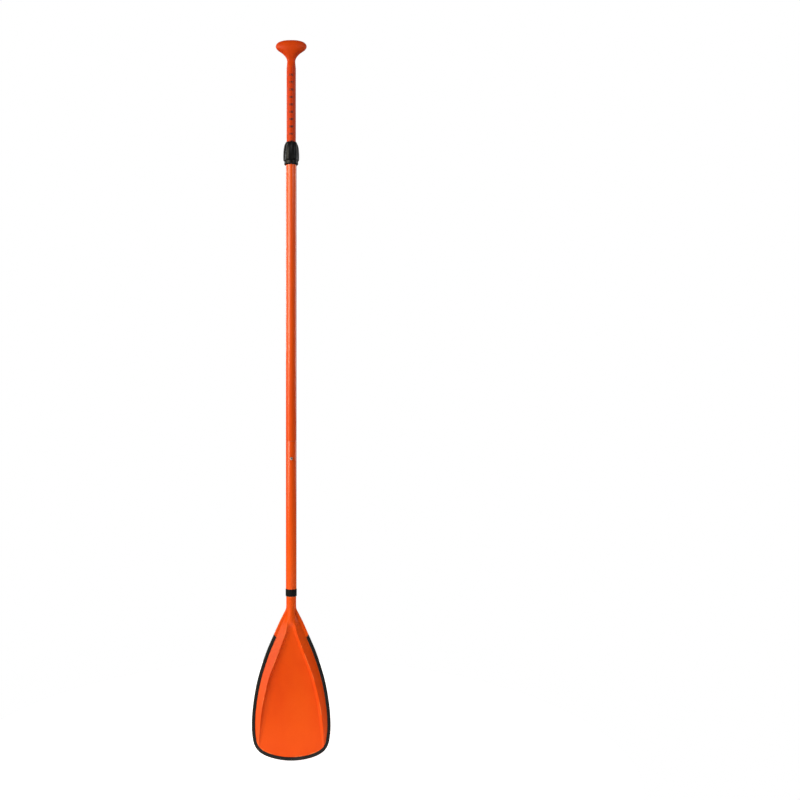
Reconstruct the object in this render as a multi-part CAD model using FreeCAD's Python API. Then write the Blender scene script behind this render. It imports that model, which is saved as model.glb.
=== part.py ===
"""Adjustable single-blade paddle for standing up or kneeling: blade, two-piece shaft, telescopic handle.

Millimetres. +Z runs up the shaft's axis, +X is across the blade, and -Y is the front, the side that
carries the blade's ribs, the snap button and the length scale. The origin is on the shaft's axis, where
the paddle is held or clipped.
"""
import FreeCAD, Part
import math
import os

from FreeCAD import Placement, Rotation, Vector

# ---------------------------------------------------------------- lengths along the shaft, tip upwards
HOLD_HEIGHT = 1000.0            # blade tip to the origin
BLADE_LENGTH = 420.0            # blade tip to the lower edge of the collar
TUBE_SEAT = 4.0                 # lower edge of the collar to the lower tube's end
LOWER_TUBE_LENGTH = 418.0       # lower tube's end to the seam
MIDDLE_TUBE_LENGTH = 750.0      # seam to the lower edge of the lock
LOCK_LENGTH = 62.0
UPPER_TUBE_SHOWING = 202.0      # top of the lock to the grip, at rest
UPPER_TUBE_HIDDEN = 404.0       # length of the upper tube below the top of the lock, at rest
GRIP_LENGTH = 74.0

# ---------------------------------------------------------------- tubes and clearances
SHAFT_RADIUS = 14.5
SHAFT_WALL = 1.5
UPPER_WALL = 1.2
SPIGOT_WALL = 1.9
MOVING_GAP = 0.3                # between pieces that move past each other
GUIDE_GAP = 0.08                # running fit of the guide plug in the middle tube
BOND_GAP = 0.1                  # room for adhesive
FACE_GAP = 0.1                  # between end faces that butt
SEAM_GAP = 0.6                  # between the lower and the middle tube's ends
CUT_EXTRA = 1.0                 # how far a shape reaches past what it cuts or joins
FOAM_GAP = 1.0                  # between a foam plug and what it stands on

# ---------------------------------------------------------------- blade
BLADE_WIDTH = 210.0
NECK_STEP = 1.0                 # how much thinner the neck is than the shaft
BLADE_PLUG_LENGTH = 45.0
BLADE_SLOPE = 0.209             # forward lean of the straight part of the blade
BEND_SPAN = 110.0               # height over which the neck bends into the lean
BEND_BELOW_COLLAR = 1.4         # straight neck between the collar and the bend
RIM_THICKNESS = 3.0
RIM_FLANK_RISE = 0.3            # how much higher the flank starts than the rim's face
CREST_CLEARANCE = 1.0           # least width of the flank beside a rib's crest
GUARD_THICKNESS = 6.6
GUARD_COVER = 9.0               # how far the guard reaches over each face
GUARD_LIP = 2.2                 # rubber outside the blade's own edge
GUARD_GROOVE_GAP = 0.05
GUARD_END = 0.755               # share of the blade's length where the guard's outer edge ends
GUARD_END_SLANT = 1.1           # how much lower the cut end is on its inner side, per width

# ---------------------------------------------------------------- collar and its hidden pins
COLLAR_LENGTH = 19.5
COLLAR_WALL = 0.7
PIN_RADIUS = 1.6
PIN_DEPTH = 5.5
PIN_RECESS = 0.2                # how far the pins' flat ends stay below the tube's surface

# ---------------------------------------------------------------- joint between the lower and middle tubes
SPIGOT_BELOW_SEAM = 95.0
SPIGOT_ABOVE_SEAM = 70.0
SEAM_RING_SECTION = 0.8
BUTTON_BELOW_SEAM = 47.5
BUTTON_RADIUS = 4.0
BUTTON_STANDS_OUT = 6.0
BUTTON_FLANGE = 1.2             # thickness of the flange, and how far it reaches past the stud
SPRING_WIDTH = 8.0
SPRING_THICKNESS = 0.6
SPRING_LENGTH = 46.0
FOAM_LENGTH = 40.0
FOAM_SQUEEZE_GAP = 0.05

# ---------------------------------------------------------------- twist lock
LOCK_RIM = 11.0
LOCK_RIM_OVERHANG = 4.5         # how far the rim stands out from the shaft
LOCK_RIM_BEVEL = 2.4
LOCK_STEM_BEVEL = 0.6
TUBE_TURNED_DOWN = 0.3          # depth of the land that the lock's base is bonded on
TUBE_IN_LOCK = 26.0
STEM_WALL = 2.35
STEM_OVER_TUBE = 7.0            # how far the stem reaches above the middle tube's end
LOCK_RING_SECTION = 1.6
COLLET_BELOW_TOP = 10.0         # collet's tip to the top of the lock
COLLET_TIP_WALL = 1.4
COLLET_SHOULDER_WALL = 2.6
COLLET_SLOT = 1.5
COLLET_FINGERS = 4
BARREL_GAP = 0.35
BARREL_FOOT_GAP = 0.4           # between the barrel's lower edge and the rim
BARREL_SHOULDER_GAP = 1.3       # between the stem's top and the barrel's inner shoulder
BARREL_SHOULDER_BEVEL = 1.0
BARREL_LOBES = 6
BARREL_LOBE_DEPTH = 0.9
BARREL_TWIST = 14.0             # degrees that the flutes lean over the barrel's height
FLUTE_FADE = 7.0                # height below the top over which the flutes run out
MOUTH_GAP = 0.5
WIPER_ABOVE_COLLET = 1.4
WIPER_HEIGHT = 3.0
WIPER_WIDTH = 2.5

# ---------------------------------------------------------------- upper tube's hidden end
GUIDE_HEIGHT = 12.0
GUIDE_STEM = 18.0
PLUG_BEVEL = 1.0
GRIP_PLUG_LENGTH = 45.0

# ---------------------------------------------------------------- levels and radii that follow from these
TIP = -HOLD_HEIGHT
COLLAR_BOTTOM = TIP + BLADE_LENGTH
LOWER_TUBE_BOTTOM = COLLAR_BOTTOM + TUBE_SEAT
BLADE_PLUG_TOP = LOWER_TUBE_BOTTOM + BLADE_PLUG_LENGTH
SEAM = LOWER_TUBE_BOTTOM + LOWER_TUBE_LENGTH
LOCK_BOTTOM = SEAM + MIDDLE_TUBE_LENGTH
LOCK_TOP = LOCK_BOTTOM + LOCK_LENGTH
MIDDLE_TUBE_TOP = LOCK_BOTTOM + TUBE_IN_LOCK
UPPER_TUBE_BOTTOM = LOCK_TOP - UPPER_TUBE_HIDDEN
GRIP_BOTTOM = LOCK_TOP + UPPER_TUBE_SHOWING
GRIP_TOP = GRIP_BOTTOM + GRIP_LENGTH
BUTTON_LEVEL = SEAM - BUTTON_BELOW_SEAM

SHAFT_BORE = SHAFT_RADIUS - SHAFT_WALL
UPPER_RADIUS = SHAFT_BORE - MOVING_GAP
UPPER_BORE = UPPER_RADIUS - UPPER_WALL
SPIGOT_RADIUS = SHAFT_BORE - BOND_GAP
SPIGOT_BORE = SPIGOT_RADIUS - SPIGOT_WALL
HALF_WIDTH = BLADE_WIDTH / 2
NECK_RADIUS = SHAFT_RADIUS - NECK_STEP
BEND_MIDDLE = BLADE_LENGTH - BEND_BELOW_COLLAR - BEND_SPAN / 2
TIP_FORWARD = BLADE_SLOPE * BEND_MIDDLE
BUTTON_FLANGE_RADIUS = BUTTON_RADIUS + BUTTON_FLANGE
STEM_BORE = SHAFT_RADIUS - TUBE_TURNED_DOWN + BOND_GAP / 2
STEM_RADIUS = STEM_BORE + STEM_WALL
STEM_TOP = MIDDLE_TUBE_TOP + STEM_OVER_TUBE
COLLET_TOP = LOCK_TOP - COLLET_BELOW_TOP
LOCK_RIM_RADIUS = SHAFT_RADIUS + LOCK_RIM_OVERHANG
BARREL_BOTTOM = LOCK_BOTTOM + LOCK_RIM + BARREL_FOOT_GAP

# Blade outline, from the neck to the tip: share of the blade's length, share of its half width.
OUTLINE = (
    (0.945, 0.132), (0.921, 0.143), (0.886, 0.199), (0.844, 0.286), (0.762, 0.437), (0.639, 0.654),
    (0.478, 0.863), (0.320, 0.975), (0.200, 1.000), (0.120, 0.964), (0.080, 0.904), (0.048, 0.785),
    (0.024, 0.590), (0.006, 0.300), (0.0, 0.0),
)
# Lines along the blade: share of its length, share of its half width, height over the rim plane.
RIB_CREST = (
    (-0.03, 0.800, 1.8), (0.06, 0.812, 3.6), (0.12, 0.814, 7.0), (0.20, 0.795, 11.0), (0.30, 0.748, 13.4),
    (0.40, 0.671, 14.2), (0.505, 0.557, 14.0), (0.607, 0.395, 13.5), (0.721, 0.214, 13.5),
    (0.785, 0.130, 13.3), (0.82, 0.105, 12.8), (0.85, 0.098, 12.2), (0.885, 0.090, 11.4),
)
RIB_FOOT = (
    (-0.03, 0.770, 1.7), (0.06, 0.785, 2.8), (0.12, 0.780, 4.0), (0.20, 0.752, 5.2), (0.30, 0.705, 6.0),
    (0.40, 0.628, 6.4), (0.505, 0.514, 6.6), (0.607, 0.352, 6.8), (0.721, 0.171, 7.5), (0.785, 0.085, 9.6),
    (0.82, 0.050, 14.5), (0.85, 0.055, 14.2), (0.885, 0.057, 13.6),
)
PANEL_MIDDLE = (
    (-0.03, 0.0, 1.6), (0.06, 0.0, 2.3), (0.12, 0.0, 2.9), (0.20, 0.0, 3.6), (0.30, 0.0, 4.1),
    (0.40, 0.0, 4.7), (0.505, 0.0, 5.1), (0.607, 0.0, 5.6), (0.721, 0.0, 6.7), (0.785, 0.0, 9.0),
    (0.82, 0.0, 14.8), (0.85, 0.0, 15.4), (0.885, 0.0, 15.3),
)
BACK_OUTER = (
    (-0.03, 0.45, -1.6), (0.12, 0.63, -2.9), (0.25, 0.66, -2.3), (0.43, 0.59, -1.9), (0.62, 0.46, -1.7),
    (0.76, 0.27, -1.6), (0.81, 0.21, -1.6), (0.845, 0.16, -1.8), (0.885, 0.130, -3.5),
)
BACK_INNER = (
    (-0.03, 0.22, -1.7), (0.12, 0.34, -4.1), (0.25, 0.38, -3.2), (0.43, 0.30, -2.7), (0.62, 0.21, -2.5),
    (0.76, 0.124, -2.6), (0.81, 0.105, -3.3), (0.845, 0.086, -4.9), (0.885, 0.067, -9.5),
)
BACK_SPINE = (
    (-0.03, 0.0, -1.7), (0.12, 0.0, -4.5), (0.25, 0.0, -3.5), (0.43, 0.0, -3.1), (0.62, 0.0, -3.2),
    (0.76, 0.0, -4.1), (0.81, 0.0, -5.0), (0.845, 0.0, -7.0), (0.885, 0.0, -11.0),
)
PANEL_STATIONS = (-0.03, 0.03, 0.07, 0.12, 0.18, 0.25, 0.33, 0.42, 0.52, 0.62, 0.70, 0.76, 0.785)
NECK_STATIONS = (0.785, 0.797, 0.809, 0.82, 0.835, 0.85, 0.867, 0.885)
NECK_STATION = 0.950            # where the loft is the neck's own circle
NECK_TURNS = (-90, -68, -45, -6, 6, 25, 48, 64, 77, 90)     # the section's points on that circle, in degrees

# Grip sections, from the top: depth as a share of the grip's length, half width, back and front edge.
GRIP_SECTIONS = (
    (0.0054, 17.0, -0.5, 9.5), (0.0216, 25.0, -3.5, 12.0), (0.0743, 35.0, -7.5, 15.8),
    (0.1486, 40.4, -10.6, 18.8), (0.2432, 42.0, -12.2, 20.4), (0.3378, 37.5, -12.9, 20.2),
    (0.4459, 25.5, -12.9, 18.0), (0.5541, 16.8, -11.6, 13.8), (0.6486, 12.6, -9.0, 9.2),
    (0.7432, 11.2, -7.4, 7.2), (0.8649, 11.7, -10.4, 9.8),
)
GRIP_FOOT_SHARE = 0.9595        # depth share of the section just above the tube
GRIP_FOOT_STEP = 0.3            # how much smaller than the tube that section is
GRIP_SECTION_POINTS = 16

# Barrel's outside: share of its height, how far it stands out from the shaft midway between lobe and flute.
BARREL_PROFILE = (
    (0.0, 5.4), (0.032, 6.1), (0.111, 6.4), (0.308, 6.4), (0.526, 5.8), (0.704, 4.9), (0.842, 3.2),
    (0.941, 1.4), (1.0, 0.1),
)
BARREL_POINTS = 48


# ---------------------------------------------------------------- helpers
def cylinder(radius, low, high):
    """A round bar on the shaft's axis."""
    return Part.makeCylinder(radius, high - low, Vector(0, 0, low))


def tube(bore, radius, low, high):
    """A round tube on the shaft's axis."""
    return cylinder(radius, low, high).cut(cylinder(bore, low - CUT_EXTRA, high + CUT_EXTRA))


def turned(profile):
    """A solid turned about Z from a closed outline of (radius, z) points."""
    points = [Vector(r, 0, z) for r, z in profile]
    wire = Part.makePolygon(points + points[:1])
    return Part.Face(wire).revolve(Vector(0, 0, 0), Vector(0, 0, 1), 360)


def round_ring(radius, section, level):
    """A ring of round section about the shaft's axis."""
    return Part.makeTorus(radius, section, Vector(0, 0, level))


def value_on(line, share, column):
    """A line's value at a share of the blade's length, on a smooth curve through its points."""
    rows = sorted(line)
    keys = [row[0] for row in rows]
    values = [row[column] for row in rows]
    share = min(max(share, keys[0]), keys[-1])
    steps = [(b - a) / (q - p) for a, b, p, q in zip(values, values[1:], keys, keys[1:])]
    inner = [0.0 if a * b <= 0 else 2 * a * b / (a + b) for a, b in zip(steps, steps[1:])]
    slopes = steps[:1] + inner + steps[-1:]
    i = max(k for k in range(len(keys) - 1) if keys[k] <= share)
    span = keys[i + 1] - keys[i]
    t = (share - keys[i]) / span
    ease = t * t * (3 - 2 * t)
    left = t * (1 - t) ** 2 * span * slopes[i]
    right = t * t * (t - 1) * span * slopes[i + 1]
    return values[i] + (values[i + 1] - values[i]) * ease + left + right


def radial_hole(radius, level, start, end):
    """A round bar across the shaft towards the front, from start to end of its distance from the axis."""
    return Part.makeCylinder(radius, end - start, Vector(0, -start, level), Vector(0, -1, 0))


def largest_solid(shape):
    """A boolean's result as one solid."""
    return max(shape.Solids, key=lambda solid: solid.Volume)


# ---------------------------------------------------------------- blade
def rim_plane(share):
    """How far the rim plane stands in front of the axis at a share of the blade's length."""
    height = share * BLADE_LENGTH
    below_bend = BEND_MIDDLE + BEND_SPAN / 2 - height
    if below_bend <= 0:
        return 0.0
    if below_bend < BEND_SPAN:
        return BLADE_SLOPE * below_bend ** 2 / (2 * BEND_SPAN)
    return TIP_FORWARD - BLADE_SLOPE * height


def rim_half_width(share):
    """Half width of the blade's outline."""
    widest = max(OUTLINE, key=lambda point: point[1])
    if share < widest[0]:
        return HALF_WIDTH
    return value_on(OUTLINE, share, 1) * HALF_WIDTH


def section_wire(share, half):
    """A closed section from its right half, which runs from the middle of the back to that of the front."""
    level = TIP + share * BLADE_LENGTH
    forward = rim_plane(share)
    whole = half + [(-x, h) for x, h in reversed(half[1:-1])]
    points = [Vector(x, -(forward + h), level) for x, h in whole]
    return Part.makePolygon(points + points[:1])


def blade_half_section(share):
    """Right half of the blade's section, from the middle of the back round to the middle of the front."""
    def at(line):
        return value_on(line, share, 1) * HALF_WIDTH, value_on(line, share, 2)

    rim = rim_half_width(share)
    crest = at(RIB_CREST)
    foot = at(RIB_FOOT)
    middle = at(PANEL_MIDDLE)
    flank_start = max(rim - GUARD_COVER, crest[0] + CREST_CLEARANCE)
    halfway = (foot[0] / 2, middle[1] + (foot[1] - middle[1]) / 4)
    return [
        at(BACK_SPINE), at(BACK_INNER), at(BACK_OUTER), (rim + GUARD_COVER, -RIM_THICKNESS / 2),
        (rim + GUARD_COVER, RIM_THICKNESS / 2), (flank_start, RIM_THICKNESS / 2 + RIM_FLANK_RISE),
        crest, foot, halfway, middle,
    ]


def neck_half_section():
    """Right half of the neck's circle, with as many points as the blade's half section."""
    turns = [math.radians(turn) for turn in NECK_TURNS]
    return [(NECK_RADIUS * math.cos(turn), NECK_RADIUS * math.sin(turn)) for turn in turns]


def flat_half_section(share, thickness):
    """Right half of a plain slab about the rim plane."""
    reach = rim_half_width(share) + GUARD_COVER
    return [(0, -thickness / 2), (reach, -thickness / 2), (reach, thickness / 2), (0, thickness / 2)]


def outline_curve(inset):
    """The blade's outline moved inwards, as one curve from shoulder to shoulder round the tip."""
    right = [Vector(w * HALF_WIDTH, 0, TIP + s * BLADE_LENGTH) for s, w in OUTLINE]
    left = [Vector(-p.x, 0, p.z) for p in reversed(right[:-1])]
    curve = Part.BSplineCurve()
    curve.interpolate(right + left)
    if not inset:
        return curve
    count = 4 * len(OUTLINE)
    moved = []
    for i in range(count + 1):
        at = curve.FirstParameter + (curve.LastParameter - curve.FirstParameter) * i / count
        along = curve.tangent(at)[0]
        inwards = Vector(0, 1, 0).cross(along)
        moved.append(curve.value(at) + inwards * inset)
    inner = Part.BSplineCurve()
    inner.interpolate(moved)
    return inner


def outline_prism(inset):
    """Everything within the blade's outline, moved inwards."""
    curve = outline_curve(inset)
    closing = Part.makeLine(curve.value(curve.LastParameter), curve.value(curve.FirstParameter))
    face = Part.Face(Part.Wire([curve.toShape(), closing]))
    face.translate(Vector(0, -BLADE_WIDTH, 0))
    return face.extrude(Vector(0, 2 * BLADE_WIDTH, 0))


def guard_band(cover):
    """The band along the rim that the guard covers, up to its slanted ends at the shoulders."""
    reach = 2 * BLADE_WIDTH
    end_width = rim_half_width(GUARD_END)
    middle = TIP + GUARD_END * BLADE_LENGTH - GUARD_END_SLANT * end_width
    corners = [
        (0, middle), (reach, middle + GUARD_END_SLANT * reach), (reach, middle + 2 * reach),
        (-reach, middle + 2 * reach), (-reach, middle + GUARD_END_SLANT * reach),
    ]
    points = [Vector(x, -reach, z) for x, z in corners]
    above = Part.Face(Part.makePolygon(points + points[:1])).extrude(Vector(0, 2 * reach, 0))
    return outline_prism(0).cut(outline_prism(cover)).cut(above)


def flat_slab(thickness):
    """A plain slab of one thickness that follows the rim plane."""
    wires = [section_wire(share, flat_half_section(share, thickness)) for share in PANEL_STATIONS]
    return Part.makeLoft(wires, True, False)


def make_blade():
    """Round neck and plug, ribbed panel, and the thin rim that the guard grips."""
    panel_wires = [section_wire(share, blade_half_section(share)) for share in PANEL_STATIONS]
    neck_wires = [section_wire(share, blade_half_section(share)) for share in NECK_STATIONS]
    neck_wires.append(section_wire(NECK_STATION, neck_half_section()))
    body = Part.makeLoft(panel_wires, True, False).fuse(Part.makeLoft(neck_wires, True, True))
    panel = body.common(outline_prism(0)).cut(guard_band(GUARD_COVER))
    lip = flat_slab(RIM_THICKNESS).common(outline_prism(GUARD_LIP))
    neck = cylinder(NECK_RADIUS, TIP + (NECK_STATION - 0.02) * BLADE_LENGTH, LOWER_TUBE_BOTTOM - FACE_GAP)
    plug = cylinder(SHAFT_BORE - BOND_GAP, LOWER_TUBE_BOTTOM - CUT_EXTRA, BLADE_PLUG_TOP)
    blade = panel.fuse([lip, neck, plug])
    for hole in pin_holes():
        blade = blade.cut(hole)
    return largest_solid(blade)


def make_edge_guard():
    """Rubber channel round the rim, from shoulder to shoulder, with a groove for the blade's lip."""
    channel = flat_slab(GUARD_THICKNESS).common(guard_band(GUARD_COVER - GUARD_GROOVE_GAP))
    lip = flat_slab(RIM_THICKNESS + 2 * GUARD_GROOVE_GAP)
    groove = lip.common(outline_prism(GUARD_LIP - GUARD_GROOVE_GAP))
    return largest_solid(channel.cut(groove))


# ---------------------------------------------------------------- lower section
def pin_level():
    """Level of the pins that the collar hides."""
    return (LOWER_TUBE_BOTTOM + COLLAR_BOTTOM + COLLAR_LENGTH) / 2


def pins(radius, length):
    """Two bars that start inside the blade's plug and point outwards along X."""
    start = SHAFT_RADIUS - PIN_DEPTH
    return [
        Part.makeCylinder(radius, length, Vector(side * start, 0, pin_level()), Vector(side, 0, 0))
        for side in (1, -1)
    ]


def pin_holes():
    """What the pins take from the tube's wall and from the plug."""
    return pins(PIN_RADIUS + BOND_GAP / 2, PIN_DEPTH)


def make_blade_pins():
    """The two pins that hold the blade's plug in the lower tube."""
    return Part.makeCompound(pins(PIN_RADIUS, PIN_DEPTH - PIN_RECESS))


def make_lower_tube():
    """Lower tube, with the hole that the snap button shows through."""
    shape = tube(SHAFT_BORE, SHAFT_RADIUS, LOWER_TUBE_BOTTOM, SEAM - SEAM_GAP)
    shape = shape.cut(radial_hole(BUTTON_RADIUS + MOVING_GAP, BUTTON_LEVEL, 0, 2 * SHAFT_RADIUS))
    for hole in pin_holes():
        shape = shape.cut(hole)
    return shape


def make_blade_collar():
    """Black band over the step between the lower tube and the blade's neck."""
    top = COLLAR_BOTTOM + COLLAR_LENGTH
    outside = cylinder(SHAFT_RADIUS + COLLAR_WALL, COLLAR_BOTTOM, top)
    edges = [e for e in outside.Edges if isinstance(e.Curve, Part.Circle)]
    outside = outside.makeChamfer(COLLAR_WALL / 2, edges)
    tube_part = cylinder(SHAFT_RADIUS + BOND_GAP / 2, LOWER_TUBE_BOTTOM - FACE_GAP, top + CUT_EXTRA)
    neck_part = cylinder(NECK_RADIUS + BOND_GAP / 2, COLLAR_BOTTOM - CUT_EXTRA, top)
    return outside.cut(tube_part.fuse(neck_part))


def make_foam_plug(radius, low):
    """A closed-cell foam plug, pressed into a tube and glued."""
    plug = cylinder(radius - FOAM_SQUEEZE_GAP, low, low + FOAM_LENGTH)
    return plug.makeChamfer(PLUG_BEVEL, [e for e in plug.Edges if isinstance(e.Curve, Part.Circle)])


# ---------------------------------------------------------------- joint between the tubes
def seam_groove(section):
    """The ring groove at the seam, just inside the lower tube's mouth."""
    return round_ring(SPIGOT_RADIUS - SEAM_RING_SECTION, section, SEAM - 4 * SEAM_RING_SECTION)


def make_spigot():
    """Short tube glued in the middle tube, which slides into the lower one."""
    low = SEAM - SPIGOT_BELOW_SEAM
    shape = tube(SPIGOT_BORE, SPIGOT_RADIUS, low, SEAM + SPIGOT_ABOVE_SEAM)
    rim = [e for e in shape.Edges if isinstance(e.Curve, Part.Circle) and abs(e.BoundBox.ZMin - low) < 0.1]
    shape = shape.makeChamfer(SPIGOT_WALL / 4, rim)
    shape = shape.cut(radial_hole(BUTTON_RADIUS + MOVING_GAP, BUTTON_LEVEL, 0, 2 * SHAFT_RADIUS))
    return shape.cut(seam_groove(SEAM_RING_SECTION + BOND_GAP / 2))


def make_seam_ring():
    """Rubber ring in the spigot's groove, which keeps water out of the joint."""
    return seam_groove(SEAM_RING_SECTION)


def button_inner_face():
    """Distance from the axis of the button flange's outer face, against the spigot's round bore."""
    return math.sqrt(SPIGOT_BORE ** 2 - BUTTON_FLANGE_RADIUS ** 2) - MOVING_GAP


def make_snap_button():
    """Domed stud with a flange inside the spigot."""
    inner = button_inner_face() - BUTTON_FLANGE
    tip = SHAFT_RADIUS + BUTTON_STANDS_OUT
    stud = radial_hole(BUTTON_RADIUS, BUTTON_LEVEL, inner, tip - BUTTON_RADIUS / 2)
    dome_radius = (BUTTON_RADIUS ** 2 + (BUTTON_RADIUS / 2) ** 2) / BUTTON_RADIUS
    dome = Part.makeSphere(dome_radius, Vector(0, -(tip - dome_radius), BUTTON_LEVEL))
    dome = dome.common(radial_hole(BUTTON_RADIUS, BUTTON_LEVEL, inner, tip + CUT_EXTRA))
    flange = radial_hole(BUTTON_FLANGE_RADIUS, BUTTON_LEVEL, inner, inner + BUTTON_FLANGE)
    return stud.fuse([dome, flange]).removeSplitter()


def strip_along(points, width, thickness):
    """A bent strip whose middle line runs through (y, z) points, centred on x = 0."""
    pieces = []
    for (y0, z0), (y1, z1) in zip(points, points[1:]):
        length = math.hypot(y1 - y0, z1 - z0)
        piece = Part.makeBox(width, thickness, length, Vector(-width / 2, -thickness / 2, 0))
        tilt = -math.degrees(math.atan2(y1 - y0, z1 - z0))
        piece.Placement = Placement(Vector(0, y0, z0), Rotation(Vector(1, 0, 0), tilt))
        pieces.append(piece)
    for y, z in points[1:-1]:
        corner = Vector(-width / 2, y, z)
        pieces.append(Part.makeCylinder(thickness / 2, width, corner, Vector(1, 0, 0)))
    return pieces[0].fuse(pieces[1:]).removeSplitter()


def make_button_spring():
    """Bent spring strip: one leg behind the button, the other against the back of the spigot."""
    front = -(button_inner_face() - BUTTON_FLANGE - SPRING_THICKNESS / 2 - FACE_GAP)
    back = math.sqrt(SPIGOT_BORE ** 2 - (SPRING_WIDTH / 2) ** 2) - SPRING_THICKNESS / 2 - FACE_GAP
    top = BUTTON_LEVEL + 2 * BUTTON_RADIUS
    knee = BUTTON_LEVEL - 2 * BUTTON_RADIUS
    fold = top - SPRING_LENGTH
    middle = (front + back) / 2
    nose = SPRING_THICKNESS * 4
    points = [
        (front, top), (front, knee), (middle - nose, fold + nose), (middle - nose / 2, fold),
        (middle + nose / 2, fold), (middle + nose, fold + nose), (back, knee), (back, top),
    ]
    return strip_along(points, SPRING_WIDTH, SPRING_THICKNESS)


# ---------------------------------------------------------------- middle section and lock
def make_middle_tube():
    """Middle tube, turned down at the top where the lock's base is bonded on."""
    whole = tube(SHAFT_BORE, SHAFT_RADIUS, SEAM, MIDDLE_TUBE_TOP)
    land = tube(SHAFT_RADIUS - TUBE_TURNED_DOWN, 2 * SHAFT_RADIUS, LOCK_BOTTOM, MIDDLE_TUBE_TOP + CUT_EXTRA)
    return whole.cut(land)


def lock_ring_level():
    """Level of the rubber ring on the lock's stem."""
    return LOCK_BOTTOM + LOCK_RIM + 4 * LOCK_RING_SECTION


def make_lock_base():
    """Fixed half of the lock: a rim that shows below the barrel, and a stem inside it."""
    rim_top = LOCK_BOTTOM + LOCK_RIM
    wide = LOCK_RIM_BEVEL
    fine = LOCK_STEM_BEVEL
    profile = [
        (STEM_BORE, LOCK_BOTTOM), (LOCK_RIM_RADIUS - wide, LOCK_BOTTOM),
        (LOCK_RIM_RADIUS, LOCK_BOTTOM + wide), (LOCK_RIM_RADIUS, rim_top - fine),
        (LOCK_RIM_RADIUS - fine, rim_top), (STEM_RADIUS, rim_top),
        (STEM_RADIUS, STEM_TOP - fine), (STEM_RADIUS - fine, STEM_TOP), (STEM_BORE, STEM_TOP),
    ]
    return turned(profile).cut(lock_ring_groove(LOCK_RING_SECTION / 2 + BOND_GAP / 2))


def lock_ring_groove(section):
    """The groove round the stem, and with a smaller section the ring in it."""
    return round_ring(STEM_RADIUS - LOCK_RING_SECTION / 2 + BOND_GAP, section, lock_ring_level())


def make_lock_ring():
    """Rubber ring that drags on the barrel's bore and keeps grit out."""
    return lock_ring_groove(LOCK_RING_SECTION / 2)


def make_collet():
    """Split tapered sleeve that the barrel closes on the upper tube."""
    bore = SHAFT_BORE
    seat = MIDDLE_TUBE_TOP + FACE_GAP
    seat_radius = STEM_BORE - BOND_GAP / 2
    shoulder = STEM_TOP + FACE_GAP
    profile = [
        (bore, seat), (seat_radius, seat), (seat_radius, shoulder), (bore + COLLET_SHOULDER_WALL, shoulder),
        (bore + COLLET_SHOULDER_WALL, shoulder + COLLET_SLOT), (bore + COLLET_TIP_WALL, COLLET_TOP),
        (bore, COLLET_TOP),
    ]
    collet = turned(profile)
    start = seat + 2 * COLLET_SLOT
    for i in range(COLLET_FINGERS):
        corner = Vector(0, -COLLET_SLOT / 2, start)
        slot = Part.makeBox(2 * SHAFT_RADIUS, COLLET_SLOT, COLLET_TOP - start + CUT_EXTRA, corner)
        slot.rotate(Vector(0, 0, 0), Vector(0, 0, 1), (i + 0.5) * 360 / COLLET_FINGERS)
        collet = collet.cut(slot)
    return collet


def barrel_section(share, stand_out):
    """A fluted outline of the barrel at a share of its height."""
    level = BARREL_BOTTOM + share * (LOCK_TOP - BARREL_BOTTOM)
    radius = SHAFT_RADIUS + stand_out
    lean = math.radians(BARREL_TWIST) * (level - LOCK_BOTTOM) / LOCK_LENGTH
    fade = min(1.0, (LOCK_TOP - level) / FLUTE_FADE)
    points = []
    for i in range(BARREL_POINTS):
        turn = 2 * math.pi * i / BARREL_POINTS
        lobe = BARREL_LOBE_DEPTH * fade * math.cos(BARREL_LOBES * (turn - lean))
        points.append(Vector((radius + lobe) * math.cos(turn), (radius + lobe) * math.sin(turn), 0))
    curve = Part.BSplineCurve()
    curve.interpolate(points, PeriodicFlag=True)
    wire = Part.Wire(curve.toShape())
    wire.translate(Vector(0, 0, level))
    return wire


def barrel_hollow():
    """What is cut from the barrel: a bore over the stem, a cone over the collet and the mouth."""
    stem = STEM_RADIUS + BARREL_GAP
    shoulder = STEM_TOP + BARREL_SHOULDER_GAP
    cone_start = SHAFT_BORE + COLLET_SHOULDER_WALL + BARREL_GAP
    cone_end = SHAFT_BORE + COLLET_TIP_WALL + BARREL_GAP
    cone_top = COLLET_TOP + BARREL_GAP
    mouth = UPPER_RADIUS + MOUTH_GAP
    low = LOCK_BOTTOM - CUT_EXTRA
    profile = [
        (0, low), (stem, low), (stem, shoulder), (cone_start, shoulder + BARREL_SHOULDER_BEVEL),
        (cone_end, cone_top), (mouth, cone_top), (mouth, LOCK_TOP + CUT_EXTRA), (0, LOCK_TOP + CUT_EXTRA),
    ]
    return turned(profile)


def wiper_levels():
    """Lower and upper face of the wiper ring."""
    low = COLLET_TOP + WIPER_ABOVE_COLLET
    return low, low + WIPER_HEIGHT


def make_lock_barrel():
    """Fluted egg-shaped barrel that is turned by hand to lock the upper tube."""
    sections = [barrel_section(*row) for row in BARREL_PROFILE]
    outside = Part.makeLoft(sections, True, False)
    low, high = wiper_levels()
    groove = cylinder(UPPER_RADIUS + MOVING_GAP + WIPER_WIDTH + FACE_GAP, low - FACE_GAP, high + FACE_GAP)
    return largest_solid(outside.cut(barrel_hollow()).cut(groove))


def make_wiper_ring():
    """Soft ring in the barrel's mouth, round the upper tube."""
    low, high = wiper_levels()
    return tube(UPPER_RADIUS + MOVING_GAP, UPPER_RADIUS + MOVING_GAP + WIPER_WIDTH, low, high)


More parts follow.
